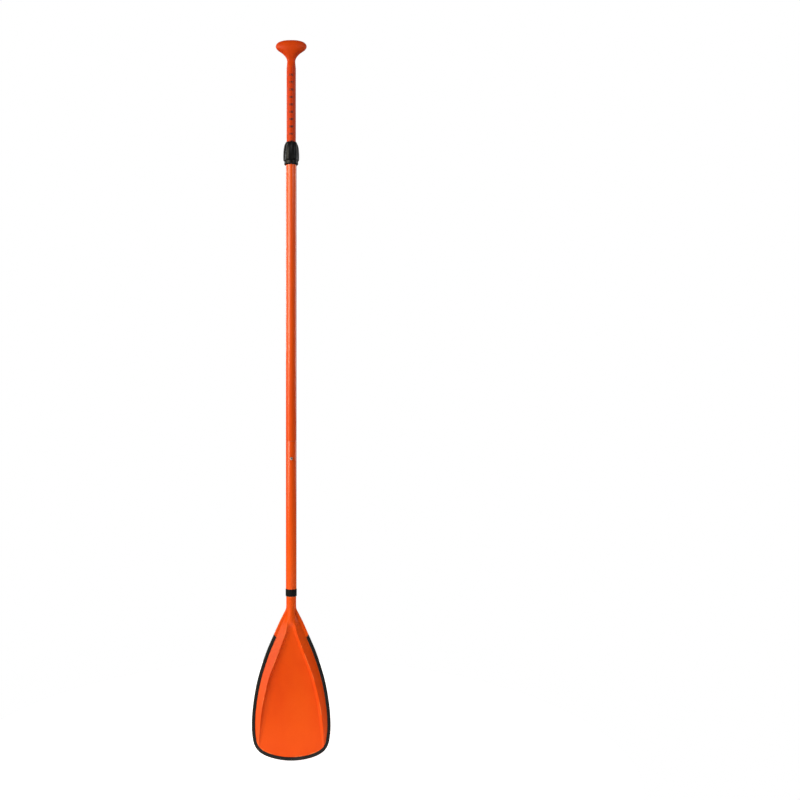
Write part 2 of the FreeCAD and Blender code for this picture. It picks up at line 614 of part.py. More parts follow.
# ---------------------------------------------------------------- upper section
def make_guide_plug():
    """Plug at the upper tube's hidden end, which guides it in the middle tube and keeps water out."""
    collar_low = UPPER_TUBE_BOTTOM - MOVING_GAP - GUIDE_HEIGHT
    collar = cylinder(SHAFT_BORE - GUIDE_GAP, collar_low, UPPER_TUBE_BOTTOM - MOVING_GAP)
    circles = [e for e in collar.Edges if isinstance(e.Curve, Part.Circle)]
    collar = collar.makeChamfer(PLUG_BEVEL, circles[-1:])
    stem = cylinder(UPPER_BORE - MOVING_GAP, UPPER_TUBE_BOTTOM - CUT_EXTRA, UPPER_TUBE_BOTTOM + GUIDE_STEM)
    return collar.fuse(stem).removeSplitter()


def make_upper_tube():
    """Telescopic tube that carries the grip and the length scale."""
    return tube(UPPER_BORE, UPPER_RADIUS, UPPER_TUBE_BOTTOM, GRIP_BOTTOM)


def grip_section(share, half_width, back, front):
    """An oval section of the grip, at a depth below its top that is a share of its length."""
    points = []
    for i in range(GRIP_SECTION_POINTS):
        turn = 2 * math.pi * i / GRIP_SECTION_POINTS
        middle, half_depth = (front + back) / 2, (front - back) / 2
        points.append(Vector(half_width * math.cos(turn), -(middle + half_depth * math.sin(turn)), 0))
    curve = Part.BSplineCurve()
    curve.interpolate(points, PeriodicFlag=True)
    wire = Part.Wire(curve.toShape())
    wire.translate(Vector(0, 0, GRIP_TOP - share * GRIP_LENGTH))
    return wire


def make_t_grip():
    """Palm grip: a rounded crossbar that blends into the tube's diameter, with a plug in the tube."""
    sections = [grip_section(*row) for row in GRIP_SECTIONS]
    foot = UPPER_RADIUS - GRIP_FOOT_STEP
    end = UPPER_RADIUS
    sections.append(grip_section(GRIP_FOOT_SHARE, foot, -foot, foot))
    sections.append(grip_section(1 - FACE_GAP / GRIP_LENGTH, end, -end, end))
    body = Part.makeLoft(sections, True, False)
    plug = cylinder(UPPER_BORE - BOND_GAP, GRIP_BOTTOM - GRIP_PLUG_LENGTH, GRIP_BOTTOM + 2)
    return body.fuse(plug)


# ---------------------------------------------------------------- the whole paddle
PARTS = {
    "blade": make_blade,
    "edge_guard": make_edge_guard,
    "blade_collar": make_blade_collar,
    "blade_pins": make_blade_pins,
    "lower_tube": make_lower_tube,
    "lower_foam_plug": lambda: make_foam_plug(SHAFT_BORE, BLADE_PLUG_TOP + FOAM_GAP),
    "spigot": make_spigot,
    "seam_ring": make_seam_ring,
    "snap_button": make_snap_button,
    "button_spring": make_button_spring,
    "middle_tube": make_middle_tube,
    "middle_foam_plug": lambda: make_foam_plug(SPIGOT_BORE, SEAM + SPIGOT_ABOVE_SEAM - FOAM_LENGTH),
    "lock_base": make_lock_base,
    "lock_ring": make_lock_ring,
    "collet": make_collet,
    "lock_barrel": make_lock_barrel,
    "wiper_ring": make_wiper_ring,
    "guide_plug": make_guide_plug,
    "upper_tube": make_upper_tube,
    "upper_foam_plug": lambda: make_foam_plug(UPPER_BORE, UPPER_TUBE_BOTTOM + GUIDE_STEM + FOAM_GAP),
    "t_grip": make_t_grip,
}


def main():
    """Build every sub-part and write it to its own STEP file."""
    os.makedirs("parts", exist_ok=True)
    for name, make in PARTS.items():
        shape = make()
        shape.exportStep(f"parts/{name}.step")
        volume = shape.Volume / 1000
        print(f"{name:18} solids {len(shape.Solids)} valid {shape.isValid()} volume {volume:8.2f} cm3")


main()
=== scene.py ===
"""Looks of an adjustable single-blade paddle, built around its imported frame.

Metres. +Z runs up the shaft's axis, +X is across the blade and -Y is the front, the side that carries the
blade's ribs, the snap button and the length scale.
"""

import bisect
import logging
import math
from dataclasses import dataclass
from enum import Enum
from typing import Iterable, Mapping, Sequence, Union

import bmesh
import bpy
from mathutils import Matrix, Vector


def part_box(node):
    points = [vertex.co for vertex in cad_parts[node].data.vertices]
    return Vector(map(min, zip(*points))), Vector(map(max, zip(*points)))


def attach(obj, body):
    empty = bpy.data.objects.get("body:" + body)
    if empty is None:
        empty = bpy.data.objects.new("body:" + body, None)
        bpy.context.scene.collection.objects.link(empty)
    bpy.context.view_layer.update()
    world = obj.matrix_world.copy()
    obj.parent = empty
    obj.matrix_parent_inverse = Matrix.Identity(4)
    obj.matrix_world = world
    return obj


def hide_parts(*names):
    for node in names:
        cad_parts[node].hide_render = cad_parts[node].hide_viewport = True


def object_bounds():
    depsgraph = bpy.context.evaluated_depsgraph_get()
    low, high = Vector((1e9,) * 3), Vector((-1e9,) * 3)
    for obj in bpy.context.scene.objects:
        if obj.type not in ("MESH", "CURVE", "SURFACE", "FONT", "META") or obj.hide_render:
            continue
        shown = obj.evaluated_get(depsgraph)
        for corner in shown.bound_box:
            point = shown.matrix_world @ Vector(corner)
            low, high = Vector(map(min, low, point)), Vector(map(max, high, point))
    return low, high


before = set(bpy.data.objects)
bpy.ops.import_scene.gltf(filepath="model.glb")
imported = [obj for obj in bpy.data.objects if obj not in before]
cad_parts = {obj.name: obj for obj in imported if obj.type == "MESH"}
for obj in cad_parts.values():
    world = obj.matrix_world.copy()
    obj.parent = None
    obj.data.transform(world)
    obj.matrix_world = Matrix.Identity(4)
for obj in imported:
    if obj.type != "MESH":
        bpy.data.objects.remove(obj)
CAD_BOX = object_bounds()

MM = 0.001
CORNER_LIMIT = 0.45
LOG = logging.getLogger("paddle")

Colour = tuple[float, float, float]
Ring = list[bmesh.types.BMVert]
Point = tuple[float, float, float]
Pair = tuple[float, float]
Row = tuple[float, ...]


class Body(Enum):
    """The frame's moving bodies."""

    SHAFT = "shaft"
    BARREL = "lock_barrel"
    SLIDER = "slider"
    HANDLE = "handle"
    BUTTON = "button"


class Slot(Enum):
    """The record's material slots."""

    BLADE = "blade_orange"
    GRIP = "grip_orange"
    SHAFT = "shaft_orange"
    UPPER = "upper_orange"
    BLACK = "black_plastic"
    GUARD = "guard_rubber"
    SEAL = "seal_rubber"
    COLLET = "collet_nylon"
    GUIDE = "guide_nylon"
    FOAM = "foam_grey"
    BARE = "bare_aluminium"
    STEEL = "polished_steel"
    SPRING = "spring_steel"


# ---------------------------------------------------------------- shader graphs
class Signal:
    """A number that varies over a surface. Arithmetic on it adds Math nodes to its graph."""

    def __init__(self, graph: "Graph", socket: bpy.types.NodeSocket) -> None:
        """Wrap one output socket of a graph."""
        self.graph = graph
        self.socket = socket

    def math(self, operation: str, first: "Number", second: "Number" = 0.0, clamp: bool = False) -> "Signal":
        """Add one Math node.

        Args:
            operation: The node's operation.
            first: Value or link of the first socket.
            second: Value or link of the second socket.
            clamp: Whether the result is kept between 0 and 1.

        Returns:
            The node's result.
        """
        settings = {"operation": operation, "use_clamp": clamp}
        node = self.graph.node("ShaderNodeMath", settings, {0: first, 1: second})
        return Signal(self.graph, node.outputs[0])

    def __add__(self, other: "Number") -> "Signal":
        """Sum."""
        return self.math("ADD", self, other)

    def __radd__(self, other: "Number") -> "Signal":
        """Sum, the number first."""
        return self.math("ADD", other, self)

    def __sub__(self, other: "Number") -> "Signal":
        """Difference."""
        return self.math("SUBTRACT", self, other)

    def __rsub__(self, other: "Number") -> "Signal":
        """Difference, the number first."""
        return self.math("SUBTRACT", other, self)

    def __mul__(self, other: "Number") -> "Signal":
        """Product."""
        return self.math("MULTIPLY", self, other)

    def __rmul__(self, other: "Number") -> "Signal":
        """Product, the number first."""
        return self.math("MULTIPLY", other, self)

    def clamped(self) -> "Signal":
        """The same signal kept between 0 and 1."""
        return self.math("ADD", self, 0.0, clamp=True)

    def between(self, low: float, high: float) -> "Signal":
        """Ease from 0 at low to 1 at high.

        Args:
            low: Value that gives 0.
            high: Value that gives 1.

        Returns:
            The eased signal.
        """
        settings = {"interpolation_type": "SMOOTHSTEP"}
        sockets = {"Value": self, "From Min": low, "From Max": high}
        node = self.graph.node("ShaderNodeMapRange", settings, sockets)
        return Signal(self.graph, node.outputs["Result"])


Number = Union[Signal, float]
Input = Union[Signal, bpy.types.NodeSocket, float, Sequence[float]]


class Graph:
    """The node graph of one material, with a Principled shader at its end."""

    def __init__(self, name: str) -> None:
        """Start a material with that name."""
        self.material = bpy.data.materials.new(name)
        self.material.use_nodes = True
        self.tree = self.material.node_tree
        self.shader = self.tree.nodes["Principled BSDF"]

    def feed(self, socket: bpy.types.NodeSocket, value: Input) -> None:
        """Link or set one socket.

        Args:
            socket: The socket to feed.
            value: A signal or socket to link, or a plain value to set.
        """
        if isinstance(value, Signal):
            self.tree.links.new(value.socket, socket)
        elif isinstance(value, bpy.types.NodeSocket):
            self.tree.links.new(value, socket)
        elif socket.type == "RGBA" and len(value) == 3:
            socket.default_value = (*value, 1.0)
        else:
            socket.default_value = value

    def node(
        self,
        kind: str,
        settings: Mapping[str, object] | None = None,
        sockets: Mapping[Union[str, int], Input] | None = None,
    ) -> bpy.types.Node:
        """Add a node, its settings first and then its sockets.

        Args:
            kind: The node's type.
            settings: The node's own properties.
            sockets: Values or links of its inputs, by name or number.

        Returns:
            The new node.
        """
        made = self.tree.nodes.new(kind)
        for key, value in (settings or {}).items():
            setattr(made, key, value)
        for key, value in (sockets or {}).items():
            self.feed(made.inputs[key], value)
        return made

    def place(self, stretch: Point = (1.0, 1.0, 1.0)) -> bpy.types.NodeSocket:
        """The point on the piece, in metres, with each direction scaled.

        Args:
            stretch: Factor along X, Y and Z.

        Returns:
            A vector socket.
        """
        point = self.node("ShaderNodeTexCoord").outputs["Object"]
        scaled = self.node("ShaderNodeVectorMath", {"operation": "MULTIPLY"}, {0: point, 1: stretch})
        return scaled.outputs[0]

    def noise(
        self, per_metre: float, detail: float = 2.0, rough: float = 0.5, stretch: Point = (1.0, 1.0, 1.0)
    ) -> Signal:
        """Smooth noise over the piece.

        Args:
            per_metre: Features per metre.
            detail: Octaves.
            rough: Share of each finer octave.
            stretch: Factor on the frequency along X, Y and Z.

        Returns:
            A signal about 0.5.
        """
        sockets = {"Vector": self.place(stretch), "Scale": per_metre, "Detail": detail, "Roughness": rough}
        return Signal(self, self.node("ShaderNodeTexNoise", None, sockets).outputs[0])

    def mark(self, name: str) -> Signal:
        """A number stored on the mesh's points under that name."""
        return Signal(self, self.node("ShaderNodeAttribute", {"attribute_name": name}).outputs["Fac"])

    def blend(self, share: Number, first: Input, second: Input) -> bpy.types.NodeSocket:
        """Mix two colours.

        Args:
            share: 0 gives the first colour and 1 the second.
            first: First colour.
            second: Second colour.

        Returns:
            A colour socket.
        """
        mixed = self.node("ShaderNodeMix", {"data_type": "RGBA"}, {0: share, 6: first, 7: second})
        return mixed.outputs[2]

    def relief(self, layers: Sequence[tuple[Signal, float]]) -> bpy.types.NodeSocket:
        """Chain bumps, each a signal and its height in metres.

        Args:
            layers: Signals with the height that a full step of each stands for.

        Returns:
            The last bump's normal.
        """
        normal = None
        for signal, distance in layers:
            sockets = {"Height": signal, "Distance": distance, "Strength": 1.0}
            if normal is not None:
                sockets["Normal"] = normal
            normal = self.node("ShaderNodeBump", None, sockets).outputs["Normal"]
        return normal

    def finish(self, **sockets: Input) -> bpy.types.Material:
        """Feed the shader's sockets, named with _ for a space.

        Args:
            **sockets: Values or links of the shader's inputs.

        Returns:
            The finished material.
        """
        for key, value in sockets.items():
            self.feed(self.shader.inputs[key.replace("_", " ")], value)
        return self.material


# ---------------------------------------------------------------- finishes
@dataclass(frozen=True)
class MouldedPlastic:
    """Injection-moulded plastic with flow marks, a fine grain, hairline scratches and worn edges."""

    name: str
    colour: Colour
    deep: Colour
    worn: Colour
    roughness: float
    grain_per_metre: float = 1500.0
    grain_height: float = 0.05 * MM
    flow_per_metre: float = 9.0
    wear: float = 0.5
    specular: float = 0.2

    def material(self) -> bpy.types.Material:
        """Build the material."""
        graph = Graph(self.name)
        flow = graph.noise(self.flow_per_metre, 3.0, 0.55, (1.0, 1.0, 0.45))
        mottle = graph.noise(self.flow_per_metre * 14, 4.0, 0.6)
        grain = graph.noise(self.grain_per_metre, 2.0, 0.5)
        lengthwise = graph.noise(1100.0, 2.0, 0.6, (1.0, 1.0, 0.035)).between(0.60, 0.72)
        slanted = graph.noise(700.0, 2.0, 0.6, (0.05, 1.0, 1.0)).between(0.66, 0.78)
        scratches = (lengthwise * 0.7 + slanted * 0.5).clamped()
        patches = graph.noise(30.0, 3.0, 0.6).between(0.45, 0.65)
        edges = (graph.mark("edge") * patches * 2.0).clamped() * self.wear
        body = graph.blend((flow.between(0.3, 0.7) * 0.75 + mottle * 0.25).clamped(), self.colour, self.deep)
        scuffed = graph.blend((edges + scratches * patches * 0.18).clamped(), body, self.worn)
        rough = self.roughness + (mottle - 0.5) * 0.16 + scratches * 0.10 + edges * 0.15
        normal = graph.relief([
            (grain, self.grain_height), (scratches, -0.03 * MM), (graph.noise(55.0, 2.0), 0.16 * MM),
        ])
        return graph.finish(
            Base_Color=scuffed, Roughness=rough.clamped(), Normal=normal, Specular_IOR_Level=self.specular,
        )


@dataclass(frozen=True)
class CoatedTube:
    """Powder-coated tube: a glossy coat with a faint orange peel, rub lines and small chips."""

    name: str
    colour: Colour
    deep: Colour
    worn: Colour
    roughness: float
    rub: float
    coat: float = 0.12
    specular: float = 0.22
    coat_roughness: float = 0.24
    chip: Colour = (0.34, 0.16, 0.10)

    def material(self) -> bpy.types.Material:
        """Build the material."""
        graph = Graph(self.name)
        clouds = graph.noise(7.0, 3.0, 0.5, (1.0, 1.0, 0.35)).between(0.3, 0.7)
        peel = graph.noise(420.0, 1.5, 0.5)
        lines = graph.noise(900.0, 2.0, 0.55, (1.0, 1.0, 0.012)).between(0.58, 0.70)
        smudge = graph.noise(26.0, 4.0, 0.65, (1.0, 1.0, 0.5))
        zone = smudge.between(0.48, 0.66)
        chips = graph.noise(240.0, 3.0, 0.6).between(0.745, 0.765) * graph.noise(16.0, 2.0).between(0.5, 0.6)
        edges = (graph.mark("edge") * 1.2).clamped() * zone
        body = graph.blend(clouds * 0.8, self.colour, self.deep)
        rubbed = graph.blend((lines * zone * self.rub).clamped(), body, self.worn)
        chipped = graph.blend((chips * 0.8 + edges * 0.3).clamped(), rubbed, self.chip)
        rough = self.roughness + (smudge - 0.5) * 0.22 + lines * zone * 0.12 + chips * 0.2
        normal = graph.relief([(peel, 0.035 * MM), (lines, -0.02 * MM), (chips, -0.08 * MM)])
        return graph.finish(
            Base_Color=chipped, Roughness=rough.clamped(), Normal=normal, Specular_IOR_Level=self.specular,
            Coat_Weight=self.coat, Coat_Roughness=self.coat_roughness,
        )


@dataclass(frozen=True)
class Rubber:
    """Soft black rubber with a matt bloom, a pebbled skin and greyed edges."""

    name: str
    colour: Colour
    bloom: Colour
    roughness: float
    pebble_per_metre: float = 1300.0
    specular: float = 0.3

    def material(self) -> bpy.types.Material:
        """Build the material."""
        graph = Graph(self.name)
        cloud = graph.noise(24.0, 4.0, 0.6)
        pebble = graph.noise(self.pebble_per_metre, 3.0, 0.6)
        scrape = graph.noise(520.0, 3.0, 0.6, (1.0, 1.0, 0.15)).between(0.60, 0.74)
        worn = (graph.mark("edge") * cloud.between(0.40, 0.62)).clamped()
        dusty = (cloud.between(0.42, 0.72) * 0.45 + scrape * 0.25 + worn * 0.6).clamped()
        rough = self.roughness + (cloud - 0.5) * 0.2 + scrape * 0.08
        normal = graph.relief([(pebble, 0.06 * MM), (scrape, -0.04 * MM)])
        colour = graph.blend(dusty, self.colour, self.bloom)
        return graph.finish(
            Base_Color=colour, Roughness=rough.clamped(), Normal=normal, Specular_IOR_Level=self.specular,
        )


@dataclass(frozen=True)
class Metal:
    """Bare metal with brushing along one direction and a few dull spots."""

    name: str
    colour: Colour
    dull: Colour
    roughness: float
    brushed: Point = (1.0, 1.0, 0.02)

    def material(self) -> bpy.types.Material:
        """Build the material."""
        graph = Graph(self.name)
        hairs = graph.noise(2400.0, 2.0, 0.6, self.brushed)
        spots = graph.noise(180.0, 3.0, 0.6).between(0.50, 0.70)
        colour = graph.blend(spots * 0.6, self.colour, self.dull)
        rough = self.roughness + (hairs - 0.5) * 0.18 + spots * 0.14
        normal = graph.relief([(hairs, 0.012 * MM)])
        return graph.finish(Base_Color=colour, Roughness=rough.clamped(), Metallic=1.0, Normal=normal)


@dataclass(frozen=True)
class Foam:
    """Closed-cell foam with a cut, pitted skin, its pits painted darker as shade."""

    name: str
    colour: Colour
    pits: Colour

    def material(self) -> bpy.types.Material:
        """Build the material."""
        graph = Graph(self.name)
        cells = graph.node("ShaderNodeTexVoronoi", None, {"Vector": graph.place(), "Scale": 700.0})
        depth = Signal(graph, cells.outputs["Distance"]).between(0.0, 0.6)
        # painted shade: the colour darkens towards the bottom of each pit
        colour = graph.blend(depth, self.pits, self.colour)
        return graph.finish(Base_Color=colour, Roughness=0.9, Normal=graph.relief([(depth, 0.3 * MM)]))


@dataclass(frozen=True)
class ScaleInk:
    """Printed ink that is rubbed thin in places, so that the tube's colour shows through."""

    name: str
    colour: Colour
    beneath: Colour

    def material(self) -> bpy.types.Material:
        """Build the material."""
        graph = Graph(self.name)
        thin = graph.noise(1500.0, 3.0, 0.7).between(0.56, 0.70) * graph.noise(60.0, 2.0).between(0.35, 0.65)
        colour = graph.blend(thin * 0.5, self.colour, self.beneath)
        return graph.finish(
            Base_Color=colour, Roughness=0.5 + thin * 0.2, Normal=graph.relief([(thin, -0.01 * MM)]),
        )


FINISHES = {
    Slot.BLADE: MouldedPlastic(
        "blade_plastic", (0.82, 0.084, 0.001), (0.74, 0.056, 0.0), (1.0, 0.28, 0.08), 0.44,
    ),
    Slot.GRIP: MouldedPlastic(
        "grip_plastic", (0.74, 0.066, 0.001), (0.62, 0.040, 0.0), (0.88, 0.22, 0.08), 0.46,
        flow_per_metre=24.0,
    ),
    Slot.SHAFT: CoatedTube(
        "shaft_coat", (0.94, 0.102, 0.001), (0.85, 0.072, 0.0), (0.98, 0.30, 0.10), 0.32, 0.25, coat=0.65,
    ),
    Slot.UPPER: CoatedTube(
        "upper_coat", (0.72, 0.056, 0.001), (0.62, 0.036, 0.0), (0.85, 0.18, 0.06), 0.38, 0.40, 0.03, 0.12,
    ),
    Slot.BLACK: MouldedPlastic(
        "black_plastic", (0.006, 0.006, 0.0065), (0.003, 0.003, 0.0035), (0.05, 0.05, 0.05), 0.36,
        flow_per_metre=60.0, wear=0.7,
    ),
    Slot.GUARD: Rubber("guard_rubber", (0.005, 0.005, 0.0055), (0.018, 0.019, 0.021), 0.50),
    Slot.SEAL: Rubber("seal_rubber", (0.015, 0.015, 0.015), (0.045, 0.045, 0.047), 0.60),
    Slot.COLLET: MouldedPlastic(
        "collet_nylon", (0.62, 0.60, 0.54), (0.52, 0.50, 0.44), (0.75, 0.74, 0.70), 0.45,
    ),
    Slot.GUIDE: MouldedPlastic(
        "guide_nylon", (0.02, 0.02, 0.02), (0.012, 0.012, 0.012), (0.12, 0.12, 0.12), 0.45,
    ),
    Slot.FOAM: Foam("foam", (0.24, 0.24, 0.25), (0.10, 0.10, 0.11)),
    Slot.BARE: Metal("bare_aluminium", (0.34, 0.31, 0.29), (0.24, 0.22, 0.21), 0.52),
    Slot.STEEL: Metal("polished_steel", (0.46, 0.42, 0.39), (0.30, 0.27, 0.25), 0.38, (1.0, 1.0, 1.0)),
    Slot.SPRING: Metal("spring_steel", (0.56, 0.56, 0.58), (0.38, 0.38, 0.40), 0.30),
}
SCALE_INK = ScaleInk("scale_ink", (0.006, 0.004, 0.004), (0.40, 0.030, 0.002))


class Finishes:
    """Builds each finish once and hands out its material."""

    def __init__(self) -> None:
        """Start with nothing built."""
        self.built: dict[str, bpy.types.Material] = {}

    def get(self, slot: Slot) -> bpy.types.Material:
        """The material of a slot, built when it is first asked for."""
        if slot.value not in self.built:
            self.built[slot.value] = FINISHES[slot].material()
        return self.built[slot.value]


# ---------------------------------------------------------------- curves and shells
def smooth_value(rows: Sequence[Row], key: float, column: int) -> float:
    """A table's value at a key, on a smooth curve that doesn't overshoot its points.

    Args:
        rows: Rows sorted by their first number.
        key: Where to read.
        column: Which number of a row to read.

    Returns:
        The value.
    """
    keys = [row[0] for row in rows]
    values = [row[column] for row in rows]
    key = min(max(key, keys[0]), keys[-1])
    steps = [(b - a) / (q - p) for a, b, p, q in zip(values, values[1:], keys, keys[1:])]
    inner = [0.0 if a * b <= 0 else 2 * a * b / (a + b) for a, b in zip(steps, steps[1:])]
    slopes = steps[:1] + inner + steps[-1:]
    i = min(bisect.bisect_right(keys, key), len(keys) - 1) - 1
    span = keys[i + 1] - keys[i]
    t = (key - keys[i]) / span
    ease = t * t * (3 - 2 * t)
    left = t * (1 - t) ** 2 * span * slopes[i]
    right = t * t * (t - 1) * span * slopes[i + 1]
    return values[i] + (values[i + 1] - values[i]) * ease + left + right


def straight_value(points: Sequence[Pair], key: float) -> float:
    """A value on straight runs through sorted points, level beyond both ends.

    Args:
        points: Pairs of key and value, sorted by key.
        key: Where to read.

    Returns:
        The value.
    """
    if key <= points[0][0]:
        return points[0][1]
    for (a, p), (b, q) in zip(points, points[1:]):
        if key <= b:
            return p + (q - p) * (key - a) / (b - a)
    return points[-1][1]


def curve_through(points: Sequence[Row], steps: int) -> list[Row]:
    """Points on a smooth curve through some points, spaced by their chords.

    Args:
        points: The points, of any number of dimensions.
        steps: Parts that each span is divided into.

    Returns:
        The curve's points.
    """
    times = [0.0]
    for a, b in zip(points, points[1:]):
        times.append(times[-1] + max(math.dist(a, b), 1e-9))
    last = len(points) - 1

    def slope(i: int, k: int) -> float:
        """Rate of change of one number at a point."""
        low, high = max(i - 1, 0), min(i + 1, last)
        return (points[high][k] - points[low][k]) / (times[high] - times[low])

    made = []
    for i in range(last):
        span = times[i + 1] - times[i]
        for j in range(steps):
            t = j / steps
            ease = t * t * (3 - 2 * t)
            made.append(tuple(
                points[i][k] + (points[i + 1][k] - points[i][k]) * ease
                + t * (1 - t) ** 2 * span * slope(i, k) + t * t * (t - 1) * span * slope(i + 1, k)
                for k in range(len(points[i]))
            ))
    return made + [tuple(points[-1])]


def rounded(points: Sequence[Pair], radius: float, steps: int = 4) -> list[Pair]:
    """A closed outline with its corners rounded.

    Args:
        points: The outline's corners.
        radius: How far each rounding reaches along its sides, at most.
        steps: Parts of each rounding.

    Returns:
        The new outline.
    """
    made = []
    for i, corner in enumerate(points):
        before, after = points[i - 1], points[(i + 1) % len(points)]
        ends = []
        for other in (before, after):
            span = math.dist(corner, other)
            reach = min(radius, CORNER_LIMIT * span) / span
            ends.append(tuple(c + (o - c) * reach for c, o in zip(corner, other)))
        for j in range(steps + 1):
            t = j / steps
            shares = ((1 - t) ** 2, 2 * t * (1 - t), t * t)
            made.append(tuple(
                shares[0] * a + shares[1] * c + shares[2] * b for a, c, b in zip(ends[0], corner, ends[1])
            ))
    return made


def full_turn(count: int) -> list[float]:
    """Equal steps of a full turn, in radians."""
    return [2 * math.pi * i / count for i in range(count)]


class Shell:
    """The skin of one piece, collected ring by ring."""

    SHARP = math.radians(38)
    EDGE_GAIN = 4.0
    EDGE_START = 0.25

    def __init__(self) -> None:
        """Start an empty skin."""
        self.mesh = bmesh.new()

    def ring(self, points: Iterable[Sequence[float]]) -> Ring:
        """Add a row of points and return it."""
        return [self.mesh.verts.new(point) for point in points]

    def circle(self, radius: float, level: float, count: int) -> Ring:
        """Add a level circle about the shaft's axis and return it."""
        return self.ring((radius * math.cos(a), radius * math.sin(a), level) for a in full_turn(count))

    def join(self, low: Ring, high: Ring, closed: bool = True) -> None:
        """Fill between two rows that have as many points.

        Args:
            low: First row.
            high: Second row.
            closed: Whether the last points are joined to the first ones too.
        """
        count = len(low)
        for i in range(count if closed else count - 1):
            j = (i + 1) % count
            corners = list(dict.fromkeys((low[i], low[j], high[j], high[i])))
            if len(corners) > 2:
                self.mesh.faces.new(corners)

    def skin(self, rings: Sequence[Ring], closed: bool = True) -> None:
        """Fill between each ring and the next."""
        for low, high in zip(rings, rings[1:]):
            self.join(low, high, closed)

    def cap(self, ring: Ring) -> None:
        """Close a ring with a fan about its middle."""
        middle = self.mesh.verts.new(sum((vert.co for vert in ring), Vector()) / len(ring))
        for i, vert in enumerate(ring):
            self.mesh.faces.new((vert, ring[(i + 1) % len(ring)], middle))

    def solid(self, rings: Sequence[Ring]) -> None:
        """Fill between the rings and close both ends."""
        self.skin(rings)
        self.cap(rings[0])
        self.cap(rings[-1])

    def mark_edges(self) -> None:
        """Store how strongly each point stands out, from 0 on flats to 1 on tight outer edges."""
        layer = self.mesh.verts.layers.float.new("edge")
        for vert in self.mesh.verts:
            ways = [(edge.other_vert(vert).co - vert.co).normalized() for edge in vert.link_edges]
            drop = -min((way.dot(vert.normal) for way in ways), default=0.0)
            vert[layer] = min(1.0, max(0.0, self.EDGE_GAIN * drop - self.EDGE_START))

    def make(self, name: str) -> bpy.types.Object:
        """Turn the skin into an object.

        Args:
            name: The object's name.

        Returns:
            The object, with sharp edges marked where faces meet steeply.
        """
        bmesh.ops.recalc_face_normals(self.mesh, faces=self.mesh.faces)
        self.mesh.normal_update()
        self.mark_edges()
        for face in self.mesh.faces:
            face.smooth = True
        for edge in self.mesh.edges:
            if len(edge.link_faces) == 2 and edge.calc_face_angle() > self.SHARP:
                edge.smooth = False
        data = bpy.data.meshes.new(name)
        self.mesh.to_mesh(data)
        self.mesh.free()
        piece = bpy.data.objects.new(name, data)
        bpy.context.scene.collection.objects.link(piece)
        return piece


def turned(profile: Sequence[Pair], segments: int = 96) -> Shell:
    """A skin turned about the shaft's axis.

    Args:
        profile: Closed outline of (radius, height) points.
        segments: Parts of the full turn.

    Returns:
        The skin.
    """
    shell = Shell()
    rings = [shell.circle(radius, level, segments) for radius, level in profile]
    shell.skin(rings + rings[:1])
    return shell


def tube_profile(bore: float, radius: float, low: float, high: float, edge: float) -> list[Pair]:
    """A tube's wall in section, its rims rounded.

    Args:
        bore: Inner radius.
        radius: Outer radius.
        low: Lower end.
        high: Upper end.
        edge: Reach of the roundings.

    Returns:
        Closed outline of (radius, height) points.
    """
    return rounded([(bore, low), (radius, low), (radius, high), (bore, high)], edge)


def dress(
    piece: bpy.types.Object, slot: Slot, body: Body, material: bpy.types.Material, *nodes: str
) -> None:
    """Give a piece its material, its body and its place in the frame.

    Args:
        piece: The new piece.
        slot: The record's slot for its finish; not used.
        body: The body that it moves with.
        material: The slot's material.
        *nodes: The frame's nodes that it stands for.
    """
    piece.data.materials.append(material)
    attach(piece, body.value)
    if nodes:
        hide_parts(*nodes)
    LOG.info("%s: %d faces on %s", piece.name, len(piece.data.polygons), body.value)


